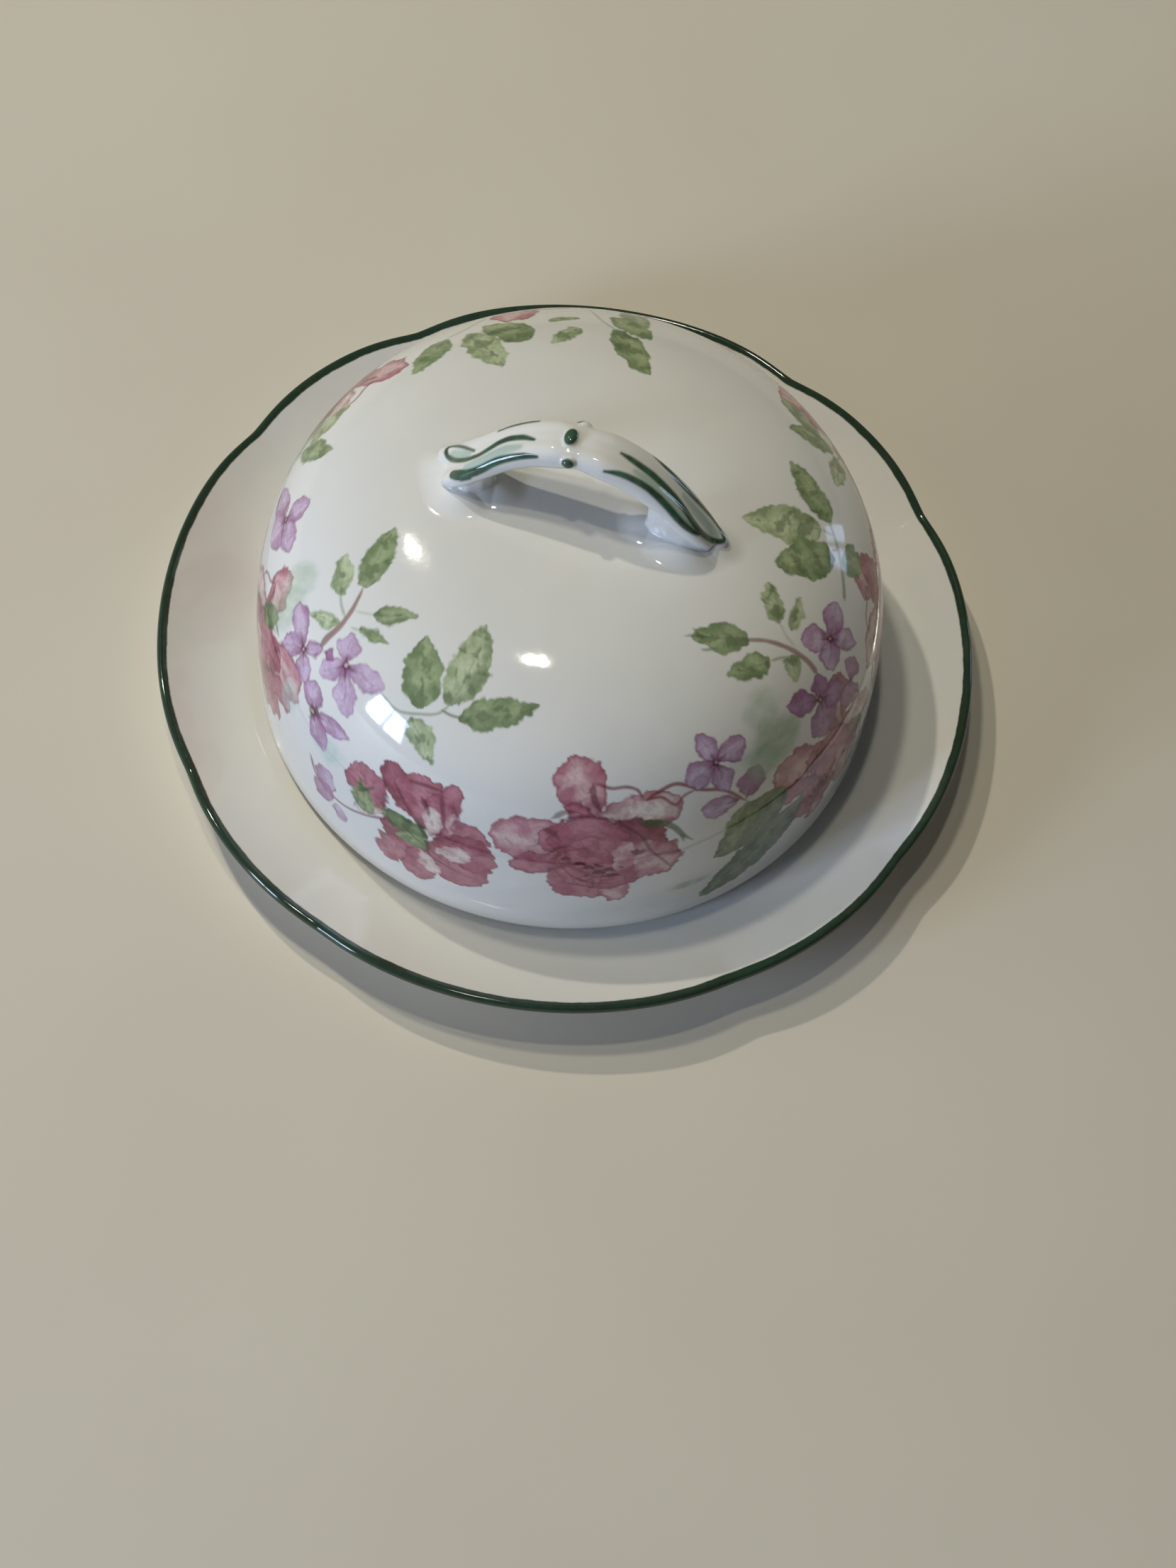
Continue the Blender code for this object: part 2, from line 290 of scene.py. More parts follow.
# The strap, left and right, then the strands that stand out on it: back left, front left, back right,
# front right. Rows are (along, across, half width, half thickness)
STRANDS = [
    [(-0.6, 0.0, 4.5, 2.35), (-3, 0.0, 4.95, 2.75), (-6, -0.15, 5.05, 2.8), (-10, -0.4, 4.9, 2.6),
     (-15, -1.2, 4.9, 2.4), (-20, -2.3, 4.7, 2.1), (-24, -2.3, 4.4, 1.75), (-26.5, -2.0, 3.2, 1.3)],
    [(-1.0, 0.0, 4.5, 2.35), (2, 0.0, 4.95, 2.7), (5, -0.1, 5.0, 2.75), (10, -0.3, 4.75, 2.6),
     (15, -0.7, 4.5, 2.4), (20, -1.1, 4.1, 2.1), (25, -1.4, 3.5, 1.7), (27.6, -1.3, 2.4, 1.2)],
    [(0.0, 2.0, 2.4, 2.4), (-5, 2.1, 2.8, 2.9), (-10, 1.75, 2.85, 2.7), (-15, 1.0, 2.9, 2.5),
     (-20, 0.1, 2.9, 2.2), (-24, 0.2, 2.85, 1.95), (-27, 0.8, 2.45, 1.6), (-28.9, 1.3, 1.8, 1.25),
     (-30.2, 1.6, 0.9, 0.7)],
    [(0.0, -2.0, 2.4, 2.4), (-5, -2.35, 2.8, 2.9), (-10, -2.75, 2.65, 2.7), (-15, -3.7, 2.4, 2.5),
     (-19, -4.9, 2.25, 2.25), (-23, -5.6, 2.1, 1.95), (-25.6, -5.4, 1.85, 1.6), (-27.6, -4.9, 0.9, 0.8)],
    [(-1.6, 2.0, 2.4, 2.4), (4, 2.1, 2.8, 2.85), (10, 1.75, 2.8, 2.7), (15, 1.35, 2.75, 2.5),
     (20, 1.0, 2.6, 2.2), (25, 0.2, 2.55, 1.9), (27.6, -0.3, 2.15, 1.6), (29.2, -0.5, 1.75, 1.25),
     (30.5, -0.6, 0.9, 0.7)],
    [(-1.6, -2.0, 2.4, 2.4), (4, -2.3, 2.8, 2.85), (10, -2.55, 2.5, 2.7), (15, -2.95, 2.3, 2.5),
     (20, -3.35, 2.1, 2.25), (23.5, -3.5, 1.95, 1.95), (26, -3.2, 1.5, 1.5), (27.8, -2.9, 0.7, 0.7)],
]
# Walls from the dome up to the strap, left and right: (along, across, half width)
LEGS = [
    [(-17.6, -2.6, 1.2), (-19.2, -2.8, 2.6), (-22, -2.8, 3.8), (-25, -1.9, 3.8), (-27.5, -0.8, 2.6),
     (-29.2, 0.2, 1.2)],
    [(14.0, -1.1, 1.2), (15.6, -1.3, 2.5), (18.5, -1.5, 3.2), (22, -1.6, 3.5), (26, -1.3, 3.1),
     (28.8, -0.9, 1.6)],
]
# Raised dots: along, across, half length, half width, rise
DOTS = [(-2.9, -0.1, 1.45, 2.2, 0.8), (-2.3, -5.2, 1.35, 1.2, 0.6), (-2.3, 4.6, 1.25, 1.05, 0.5)]
# The bud at the back of the waist: along, across, lift, half length, half width, half thickness
KNUCKLES = [(-1.5, 4.0, 0.9, 1.7, 1.5, 1.7), (-0.9, 2.4, 0.7, 1.3, 1.8, 1.7)]
# The slip that beds the strands and runs out thin round them: along, across, two radii, height
SLIP = [
    (-22.6, -2.2, 11.5, 9.0, 3.4), (-25.8, -0.4, 9.0, 7.0, 2.5), (-23.2, -6.2, 8.5, 6.6, 2.3),
    (-28.4, 1.3, 4.8, 4.4, 1.2), (-17.4, -2.6, 7.5, 7.0, 1.6),
    (21.6, -1.6, 12.5, 8.0, 3.4), (25.5, -1.0, 9.6, 6.4, 2.5), (22.0, -4.4, 10.0, 6.4, 2.3),
    (28.8, -1.0, 4.8, 4.4, 1.2), (14.6, -1.3, 7.5, 6.6, 1.6),
]
SLIP_FALLOFF = 2.6


def spot(along, across, height):
    outer = np.multiply.outer
    return outer(along, ALONG) + outer(across, ACROSS) + outer(height, UP)


def arch(along):
    return CROWN + HANDLE_RISE * (1 - np.abs(along / HANDLE_HALF_SPAN) ** HANDLE_EXPONENT)


def arch_axes(along):
    """Tangent and outward direction of the arch's centre line."""
    slope = (arch(along + 0.01) - arch(along - 0.01)) / 0.02
    tangent = (ALONG + slope * UP) / math.hypot(1.0, slope)
    return tangent, np.cross(tangent, ACROSS)


def arch_height(along, across):
    """The arch, flattening out at its ends to lie along the dome."""
    return 1.3 * np.logaddexp(arch(along) / 1.3, (dome_height(along, across) + 1.5) / 1.3)


def stations(rows, steps):
    """The columns of the rows at steps along the handle, closer together towards the ends."""
    rows = np.array(sorted(rows), float)
    share = 0.5 - 0.5 * np.cos(np.pi * np.linspace(0.0, 1.0, steps))
    along = rows[0, 0] + (rows[-1, 0] - rows[0, 0]) * share
    return [along] + [np.interp(along, rows[:, 0], column) for column in rows.T[1:]]


def squared(value, exponent):
    """A sine or cosine made squarer, keeping its sign."""
    return np.copysign(np.abs(value) ** exponent, value)


def turns(sides):
    return 2 * math.pi * np.arange(sides) / sides


def ring_faces(rings, sides):
    """Quads between rings of vertices, and a cap on each end."""
    faces = []
    for i in range(rings - 1):
        for k in range(sides):
            after = (k + 1) % sides
            this, following = i * sides, (i + 1) * sides
            faces.append((this + k, this + after, following + after, following + k))
    return faces + [tuple(range(sides)), tuple((rings - 1) * sides + k for k in range(sides))]


def tube(rows, sides=24, steps=90):
    """A closed strap-like tube along the handle."""
    along, *columns = stations(rows, steps)
    across, half_width, half_thickness = (
        np.convolve(np.pad(column, 2, mode="edge"), np.ones(5) / 5, "valid") for column in columns)
    centres = spot(along, across, arch_height(along, across))
    padded = np.vstack([centres[:1], centres, centres[-1:]])
    run = padded[2:] - padded[:-2]
    run -= np.outer(run @ ACROSS, ACROSS)
    outward = np.cross(run / np.linalg.norm(run, axis=1, keepdims=True), ACROSS)
    sideways = half_width[:, None] * squared(np.cos(turns(sides)), 0.85)
    lift = half_thickness[:, None] * squared(np.sin(turns(sides)), 0.9)
    points = centres[:, None] + sideways[..., None] * ACROSS + lift[..., None] * outward[:, None]
    return points.reshape(-1, 3), ring_faces(steps, sides)


def leg(rows, sides=28, steps=60):
    """A wall along the handle from inside the dome's wall up to the strap, flared at its bottom."""
    along, across, half_width = (column[:, None] for column in stations(rows, steps))
    low, high = dome_height(along, across) - 0.8, arch_height(along, across) - 0.6
    x, y = np.cos(turns(sides)), np.sin(turns(sides))
    flare = 1.0 + 0.35 * np.maximum(0.0, -y) ** 3
    height = (low + high) / 2 + (high - low) / 2 * squared(y, 0.7)
    points = spot(along, across + half_width * flare * squared(x, 0.7), height)
    return points.reshape(-1, 3), ring_faces(steps, sides)


def ball(centre, axes, radii, rings, sides):
    """An ellipsoid with the given centre, unit axes and radii."""
    lat, lon = (math.pi * np.arange(1, rings) / rings)[:, None], turns(sides)
    directions = (np.sin(lat) * np.cos(lon), np.sin(lat) * np.sin(lon), np.cos(lat))
    offset = sum(np.multiply.outer(direction, axis * radius)
                 for direction, axis, radius in zip(directions, axes, radii))
    return (centre + offset).reshape(-1, 3), ring_faces(rings - 1, sides)


def mound(along, across, long, wide, height, rings=26, sides=56):
    """A low swelling on the dome that meets it without an edge, with a skirt down into the wall."""
    top = spot(along, across, dome_height(along, across) + height)
    share = np.arange(1, rings + 1)[:, None] / rings
    at_along = along + long * share * np.cos(turns(sides))
    at_across = across + wide * share * np.sin(turns(sides))
    lift = height * (1 - share**2) ** SLIP_FALLOFF - 0.10 * share**0.5
    slope = spot(at_along, at_across, dome_height(at_along, at_across) + lift).reshape(-1, 3)
    faces = [(0, 1 + k, 1 + (k + 1) % sides) for k in range(sides)]
    for i in range(rings):
        for k in range(sides):
            after = (k + 1) % sides
            this, below = 1 + i * sides, 1 + (i + 1) * sides
            faces.append((this + k, below + k, below + after, this + after))
    faces.append(tuple(1 + rings * sides + k for k in reversed(range(sides))))
    return np.vstack([top[None], slope, slope[-sides:] - UP * 1.6]), faces


def swelling(along, across):
    """How far the slip stands above the dome at each place: nothing, and level, at its edge."""
    out = np.zeros(np.shape(along))
    for centre_along, centre_across, long, wide, height in SLIP:
        share = ((along - centre_along) / long) ** 2 + ((across - centre_across) / wide) ** 2
        out = np.maximum(out, height * np.clip(1.0 - share, 0.0, 1.0) ** SLIP_FALLOFF)
    return out


def dot_frame(along, across):
    """Centre of a raised dot and its axes: along the handle, round the strap, outwards."""
    tangent, outward = arch_axes(along)
    tilt = np.clip(across / 5.0, -1, 1) * 1.2
    out = outward * math.cos(tilt) + ACROSS * math.sin(tilt)
    cross = ACROSS * math.cos(tilt) - outward * math.sin(tilt)
    centre = spot(along, across * 0.92, arch(along)) + outward * (2.75 * math.cos(tilt))
    return centre, (tangent, cross, out)


def handle_parts():
    parts = [tube(rows) for rows in STRANDS] + [leg(rows) for rows in LEGS]
    for along, across, lift, *radii in KNUCKLES:
        tangent, outward = arch_axes(along)
        centre = spot(along, across, arch(along)) + outward * lift
        parts.append(ball(centre, (tangent, ACROSS, outward), radii, rings=20, sides=28))
    for along, across, length, width, rise in DOTS:
        radii = (length, width, rise + 0.3)
        parts.append(ball(*dot_frame(along, across), radii, rings=14, sides=20))
    return parts + [mound(*row) for row in SLIP]


# Painted lines, given on a level plane above the crown and carried onto the glazed surface along the
# line of sight from SIGHT: (along, across) corners, half widths from end to end
SIGHT = spot(65.47, -316.02, 566.58)
PAINT_PLANE = CROWN + 10.0
HANDLE_LINES = [
    ([(-18.9, 3.6), (-16.57, 5.75), (-14.77, 7.0), (-13.19, 7.95), (-11.64, 8.6)],
     (0.15, 0.45, 0.5, 0.5, 0.3)),
    ([(-11.3, 4.0), (-13.74, 3.89), (-16.29, 2.67), (-17.98, 1.04), (-19.18, -0.77), (-20.79, -3.07),
      (-22.74, -4.78), (-24.66, -5.6), (-26.13, -5.57), (-27.1, -4.52), (-27.25, -3.37),
      (-26.5, -2.55), (-25.11, -2.1), (-23.51, -2.1), (-21.6, -2.3)],
     (0.35, 0.7, 0.75, 0.7, 0.65, 0.6, 0.6, 0.6, 0.6, 0.55, 0.5, 0.45, 0.42, 0.38, 0.2)),
    ([(-9.6, 0.3), (-12.37, -0.4), (-14.86, -1.7), (-16.65, -2.95), (-17.99, -4.3), (-19.22, -5.95),
      (-20.6, -7.3), (-22.4, -8.5)],
     (0.35, 0.7, 0.8, 0.85, 0.85, 0.9, 0.95, 1.0)),
    ([(-24.6, -8.9), (-22.9, -8.8), (-21.3, -8.1)], (0.95, 1.3, 1.15)),
    ([(3.6, 10.7), (6.18, 10.2), (8.6, 9.5), (11.1, 8.4), (13.69, 7.0), (16.41, 5.2), (19.16, 3.2),
      (21.33, 1.65), (23.67, 0.0), (26.39, -2.0), (28.5, -3.85), (30.0, -5.5), (30.5, -6.5)],
     (0.25, 0.5, 0.6, 0.65, 0.7, 0.7, 0.65, 0.6, 0.55, 0.5, 0.5, 0.5, 0.5)),
    ([(30.5, -6.6), (29.6, -7.35), (28.08, -7.4), (26.11, -6.6), (24.23, -5.1), (21.68, -2.7),
      (18.82, -0.3), (16.07, 1.7), (13.1, 3.5), (10.12, 4.8), (7.8, 5.75), (5.5, 6.5)],
     (0.55, 0.6, 0.65, 0.75, 0.85, 0.85, 0.85, 0.8, 0.8, 0.75, 0.65, 0.25)),
    ([(3.6, 1.2), (6.38, 1.65), (8.46, 1.5), (10.95, 0.95), (13.21, 0.15), (15.65, -1.2),
      (18.16, -2.95), (20.41, -4.75), (22.34, -6.0), (24.27, -6.75), (25.7, -6.8)],
     (0.25, 0.6, 0.65, 0.7, 0.7, 0.75, 0.75, 0.75, 0.7, 0.6, 0.4)),
]
# Strokes of thin colour, in the same form
HANDLE_TINTS = [
    ([(-13.5, 1.6), (-16.5, -0.2), (-18.6, -2.6), (-20.7, -5.2), (-22.5, -6.8)],
     (0.6, 1.2, 1.4, 1.4, 1.0)),
    ([(9.5, 3.2), (13.5, 1.8), (17.5, -1.0), (21.0, -4.0), (23.5, -5.9)], (0.6, 1.2, 1.3, 1.3, 0.8)),
    ([(-26.0, -4.3), (-22.5, -3.3)], (0.8, 1.0)),
    ([(20.0, 0.9), (24.0, -2.4), (27.5, -5.2), (29.0, -6.2)], (0.6, 1.0, 1.1, 0.8)),
]


def carried(surface, corners, widths):
    """The corners joined up and carried onto the surface: points, and a half width for each."""
    corners = np.array(corners, float)
    run = lengths_along(corners)
    at = np.arange(0.0, run[-1], 0.12)
    half = np.maximum(np.interp(at, run, widths), 0.32)
    along, across = (
        np.convolve(np.pad(np.interp(at, run, column), 7, mode="edge"), np.ones(15) / 15, "valid")
        for column in corners.T)
    found, wide = [], []
    for mark, width in zip(spot(along, across, np.full(len(at), PAINT_PLANE)), half):
        hit = surface.ray_cast(Vector(SIGHT * MM), Vector(mark - SIGHT).normalized())[0]
        if hit is None:
            # A sight that just misses keeps the nearest point, if that lies close to it
            hit = surface.find_nearest(Vector(mark * MM))[0]
            sight = (mark - SIGHT) / np.linalg.norm(mark - SIGHT)
            if np.linalg.norm(np.cross(np.array(hit) / MM - SIGHT, sight)) > 0.7:
                continue
        found.append(np.array(hit) / MM)
        wide.append(width)
    return np.array(found), np.array(wide)


def stroke(places, found, wide, soft):
    """How strongly a stroke colours each place: 1 inside it, falling to 0 over the soft width."""
    tree = KDTree(len(found))
    for i, point in enumerate(found):
        tree.insert(point, i)
    tree.balance()
    low, high = found.min(0) - 2.5, found.max(0) + 2.5
    out = np.zeros(len(places))
    for i in np.nonzero(((places > low) & (places < high)).all(1))[0]:
        _, index, away = tree.find(places[i])
        out[i] = (wide[index] + soft / 2 - away) / soft
    return smooth(out)


def settle(mesh, places):
    """Raises the upper side of the slip back to its true height, which the smoothing took off."""
    normal = np.empty(places.size, np.float32)
    mesh.vertices.foreach_get("normal", normal)
    upright = normal.reshape(-1, 3)[:, 2]
    along, across = places @ ALONG, places @ ACROSS
    slip = swelling(along, across)
    floor = dome_height(along, across) + slip
    upward = smooth((upright - 0.35) / 0.3) * smooth((places[:, 2] - floor + 1.5) / 0.4)
    places = places.copy()
    places[:, 2] += np.clip(floor - 0.006 - places[:, 2], 0.0, 1.4) * upward * (slip > 0)
    mesh.vertices.foreach_set("co", (places * MM).astype(np.float32).ravel())
    mesh.update()
    return places


def paint_handle(mesh, places):
    surface = BVHTree.FromPolygons([v.co for v in mesh.vertices], [p.vertices for p in mesh.polygons])
    line, tint = np.zeros(len(places)), np.zeros(len(places))
    for corners, widths in HANDLE_LINES:
        line = np.maximum(line, stroke(places, *carried(surface, corners, widths), soft=0.62))
    for corners, widths in HANDLE_TINTS:
        tint = np.maximum(tint, stroke(places, *carried(surface, corners, widths), soft=1.1))
    for along, across, length, width, _ in DOTS:
        centre, (tangent, cross, out) = dot_frame(along, across)
        offset = places - centre
        away = np.hypot((offset @ tangent) / length, (offset @ cross) / width)
        line = np.maximum(line, smooth((1.0 - away) / 0.2) * ((offset @ out) > -0.9))
    set_float(mesh, "line", line)
    set_float(mesh, "tint", tint)


def build_handle():
    points, faces = [], []
    for more, more_faces in handle_parts():
        base = len(points)
        points += (more * MM).tolist()
        faces += [tuple(base + v for v in face) for face in more_faces]
    mesh = bpy.data.meshes.new("handle_glazed")
    mesh.from_pydata(points, [], faces)
    obj = new_object("handle_glazed", mesh)
    remesh = obj.modifiers.new("join", "REMESH")
    remesh.mode, remesh.voxel_size = "VOXEL", 0.24 * MM
    relax = obj.modifiers.new("slip", "SMOOTH")
    relax.factor, relax.iterations = 0.6, 16
    graph = bpy.context.evaluated_depsgraph_get()
    made = bpy.data.meshes.new_from_object(obj.evaluated_get(graph))
    obj.modifiers.clear()
    obj.data = made
    made.name = "handle_glazed"
    made.shade_smooth()
    places = np.empty(len(made.vertices) * 3, np.float32)
    made.vertices.foreach_get("co", places)
    paint_handle(made, settle(made, places.reshape(-1, 3).astype(float) / MM))
    return obj


# --- Colours ---
def tone(red, green, blue):
    """Linear colour from 0 to 255 display values."""
    value = np.array([red, green, blue]) / 255.0
    return np.where(value <= 0.04045, value / 12.92, ((value + 0.055) / 1.055) ** 2.4)


GREEN_DEEP, GREEN_DARK, GREEN = tone(56, 76, 44), tone(88, 108, 68), tone(128, 148, 102)
GREEN_SOFT, GREEN_PALE = tone(164, 178, 134), tone(196, 206, 168)
WASH_GREEN, WASH_MINT = tone(158, 184, 150), tone(184, 212, 200)
ROSE_DEEP, ROSE_DARK, ROSE = tone(88, 20, 38), tone(130, 46, 66), tone(162, 86, 104)
ROSE_SOFT, ROSE_PALE, CREAM = tone(188, 122, 134), tone(220, 188, 184), tone(232, 220, 206)
LILAC_DEEP, LILAC_DARK, LILAC = tone(90, 22, 58), tone(126, 54, 98), tone(160, 108, 150)
LILAC_SOFT, LILAC_PALE, LILAC_EYE = tone(186, 146, 182), tone(208, 184, 208), tone(226, 196, 190)
STEM_RED, STEM_BROWN, STEM_GREEN = tone(142, 60, 66), tone(150, 112, 104), tone(128, 146, 104)
PORCELAIN = tone(234, 232, 224)
RIM_GREEN = tone(12, 46, 24)

# Colours of a blade: its middle, its borders, the line round it, its shaded parts
LEAF_SHADES = {
    "mid": (GREEN_SOFT, GREEN, GREEN_DARK, GREEN_DARK),
    "pale": (GREEN_PALE, GREEN_SOFT, GREEN, GREEN_DARK),
    "dark": (GREEN, GREEN_DARK, GREEN_DEEP, GREEN_DEEP),
}
PETAL_SHADES = {
    "mid": (ROSE_SOFT, ROSE, ROSE_DEEP, ROSE_DARK),
    "pale": (ROSE_PALE, ROSE_SOFT, ROSE_DARK, ROSE),
    "dark": (ROSE, ROSE_DARK, ROSE_DEEP, ROSE_DEEP),
    "cream": (CREAM, ROSE_PALE, ROSE_DARK, ROSE),
}
LILAC_SHADES = {
    "mid": (LILAC_PALE, LILAC_SOFT, LILAC_DARK, LILAC_DARK),
    "pale": (LILAC_PALE, LILAC_PALE, LILAC, LILAC_DARK),
    "dark": (LILAC_SOFT, LILAC, LILAC_DARK, LILAC_DARK),
}


# --- Painting on the cover: places are (degrees around, mm down from the crown) ---
def noise(x, y, seed, size):
    """Smooth value of about -1 to 1 over the surface, with features of the given size in mm."""
    draw = np.random.RandomState(seed)
    total = 0.0
    for octave, weight in ((1.0, 0.6), (1.9, 0.3), (3.4, 0.18)):
        for _ in range(2):
            turn, phase = draw.uniform(0, math.pi), draw.uniform(0, 2 * math.pi)
            across = x * math.cos(turn) + y * math.sin(turn)
            wave = np.sin(2 * math.pi * octave / (size * 2) * across + phase)
            total = total + 0.5 * weight * wave
    return total


def turn_between(start, end):
    """The shortest turn in degrees from one angle to another."""
    return (end - start + 180.0) % 360.0 - 180.0


def mix(first, second, share):
    share = np.clip(share, 0, 1)[..., None]
    return first * (1 - share) + second * share


def curve(values, at):
    """A smooth curve through the values (Catmull-Rom), read at shares from 0 to 1."""
    padded = np.concatenate([[2 * values[0] - values[1]], values, [2 * values[-1] - values[-2]]])
    at = at * (len(values) - 1)
    i = np.minimum(at.astype(int), len(values) - 2)
    t = at - i
    before, start, end, after = (padded[i + k] for k in range(4))
    return 0.5 * (2 * start + (end - before) * t + (2 * before - 5 * start + 4 * end - after) * t**2
                  + (3 * start - before - 3 * end + after) * t**3)


def flatten(points, patch):
    """Flat coordinates round a patch's origin: x to the right from outside, y towards the crown."""
    origin, around, up = patch
    offset = points - origin
    flat = np.stack([offset @ around, offset @ up], -1)
    length = np.linalg.norm(flat, axis=-1, keepdims=True)
    return flat * np.linalg.norm(offset, axis=-1, keepdims=True) / np.maximum(length, 1e-6)


class Painter:
    def __init__(self, downs, points):
        self.downs, self.points = downs, points
        self.colour = np.zeros(points.shape[:2] + (4,))
        self.seed = 1                          # counts up with every stroke

    def near(self, angle, down, reach):
        """Indices of the points within reach of a place, their flat coordinates, and the patch."""
        rows = np.nonzero(np.abs(self.downs - down) < reach * 1.1)[0]
        patch = on_dome(angle, down)
        offset = self.points[rows[0] : rows[-1] + 1] - patch[0]
        where = np.array(np.nonzero((offset**2).sum(-1) < reach * reach))
        where[0] += rows[0]
        x, y = flatten(self.points[tuple(where)], patch).T
        return where, x, y, patch

    def lay(self, where, cover, rgb):
        """Paints over the points, cover being the opacity."""
        where = tuple(where)
        cover = np.clip(cover, 0, 1)[:, None]
        old = self.colour[where]
        under = old[:, 3:] * (1 - cover)
        alpha = cover + under
        colour = (rgb * cover + old[:, :3] * under) / np.maximum(alpha, 1e-6)
        self.colour[where] = np.hstack([colour, alpha])

    def blade(self, base, tip, width, shades, *, belly, point, frill, rim, root, ruffle, blots, side,
              bend=0.0, rib=0.0, veins=0.0, opacity=0.96, streaks=0.0, teeth=0.0, folds=0.0, hem=0.0):
        """A leaf or petal from base to tip. belly is where it is widest, point how pointed it is, side
        which half is shaded; the others are strengths, and hem the width of a shaded border."""
        self.seed += 1
        seed = self.seed
        inner, outer, edge, deep = shades
        tip = (base[0] + turn_between(base[0], tip[0]), tip[1])
        ends = on_dome(*base)[0], on_dome(*tip)[0]
        length = float(np.linalg.norm(ends[0] - ends[1]))
        reach = length * 0.62 + width * 0.8 + abs(bend) * length + 1.5
        where, x, y, patch = self.near((base[0] + tip[0]) / 2, (base[1] + tip[1]) / 2, reach)
        start, end = (flatten(place, patch) for place in ends)
        x, y = (x + ruffle * (noise(x, y, seed + 11, 2.7) + 0.4 * noise(x, y, seed + 13, 1.3)),
                y + ruffle * (noise(x, y, seed + 12, 2.7) + 0.4 * noise(x, y, seed + 14, 1.3)))
        length = float(np.linalg.norm(end - start))
        axis = (end - start) / max(length, 1e-6)

        # Outline: run goes from 0 at the base to 1 at the tip, off is the distance from the middle line
        run = ((x - start[0]) * axis[0] + (y - start[1]) * axis[1]) / length
        off = -(x - start[0]) * axis[1] + (y - start[1]) * axis[0]
        off = off - bend * length * np.sin(math.pi * np.clip(run, 0, 1))
        warped = np.clip(run, 1e-4, 1 - 1e-4) ** (math.log(0.5) / math.log(belly))
        half = width / 2 * np.sin(math.pi * warped) ** point
        half = (half * (1 + frill * noise(x, y, seed, 2.6))
                + frill * 1.2 * noise(x, y, seed + 7, 1.2) * (half > 0.4))
        saw = run * length / 1.7 - np.abs(off) * 0.25 + (off > 0) * 0.4
        half = half + (teeth * (np.abs(saw - np.floor(saw) - 0.5) * 2 - 0.5) * (half > 0.5)
                       * (0.6 + 0.6 * noise(x, y, seed + 15, 3.0)))
        cover = smooth((half - np.abs(off)) / 0.60 + 0.5) * ((run > 0) & (run < 1))
        keep = cover > 0.004
        where = where[:, keep]
        x, y, run, off, half, cover = (value[keep] for value in (x, y, run, off, half, cover))

        def rough(offset, size):
            return noise(x, y, seed + offset, size)

        # Colour, one effect over another
        across = off / np.maximum(half, 0.05)
        middle = np.abs(across)
        wander = rough(3, 3.2)
        rgb = mix(inner, outer, smooth(middle * 1.15 - 0.1 + 0.45 * wander + 0.25 * (run - 0.5)))
        shaded = smooth((across * np.sign(side) + 0.30 * wander - 0.05) / 0.5)
        rgb = mix(rgb, deep, 0.62 * abs(side) * shaded)
        rgb = mix(rgb, deep, root * smooth((0.42 - run + 0.18 * wander) / 0.4))
        lines = np.sin(across * 9.0 + 2.0 * rough(5, 4.0) + seed)
        rgb = mix(rgb, deep, streaks * smooth((lines - 0.45) / 0.5) * smooth((0.95 - run) / 0.5))
        vein = (run * length - np.abs(off) * 0.75) / max(1.5, length / 6.5)
        gap = np.abs(vein - np.floor(vein) - 0.5)
        rgb = mix(rgb, deep, veins * smooth((0.20 - gap) / 0.16) * smooth((0.96 - middle) / 0.2)
                  * smooth((0.9 - run) / 0.2))
        spread = rough(21, 2.3) + 0.5 * rough(22, 5.0) + 0.35 * (1 - 2 * middle) + 0.25 * (0.6 - run)
        rgb = mix(rgb, deep, blots * smooth((spread - 0.22) / 0.42))
        light = np.minimum(inner * 1.18 + 0.03, 1.0)
        rgb = mix(rgb, light, 0.5 * blots * smooth((-spread - 0.15) / 0.5))
        crease = np.abs(rough(23, 4.2))
        rgb = mix(rgb, edge, folds * smooth((0.10 - crease) / 0.10) * smooth((0.9 - run) / 0.3))
        rgb = mix(rgb, deep, rib * smooth((0.36 - np.abs(off)) / 0.40) * smooth((0.92 - run) / 0.25)
                  * np.clip(0.8 + 0.7 * rough(25, 3.0), 0, 1))
        border = np.minimum(half - np.abs(off), np.minimum(run, 1 - run) * length * 1.2)
        if hem:
            rgb = mix(rgb, deep, 0.75 * smooth((hem * (1 + 0.5 * rough(27, 3.5)) - border) / hem))
        rgb = mix(rgb, edge, rim * smooth((0.70 - border) / 0.60)
                  * np.clip(0.70 + 0.8 * rough(9, 3.0), 0.1, 1))
        self.lay(where, cover * opacity, rgb)

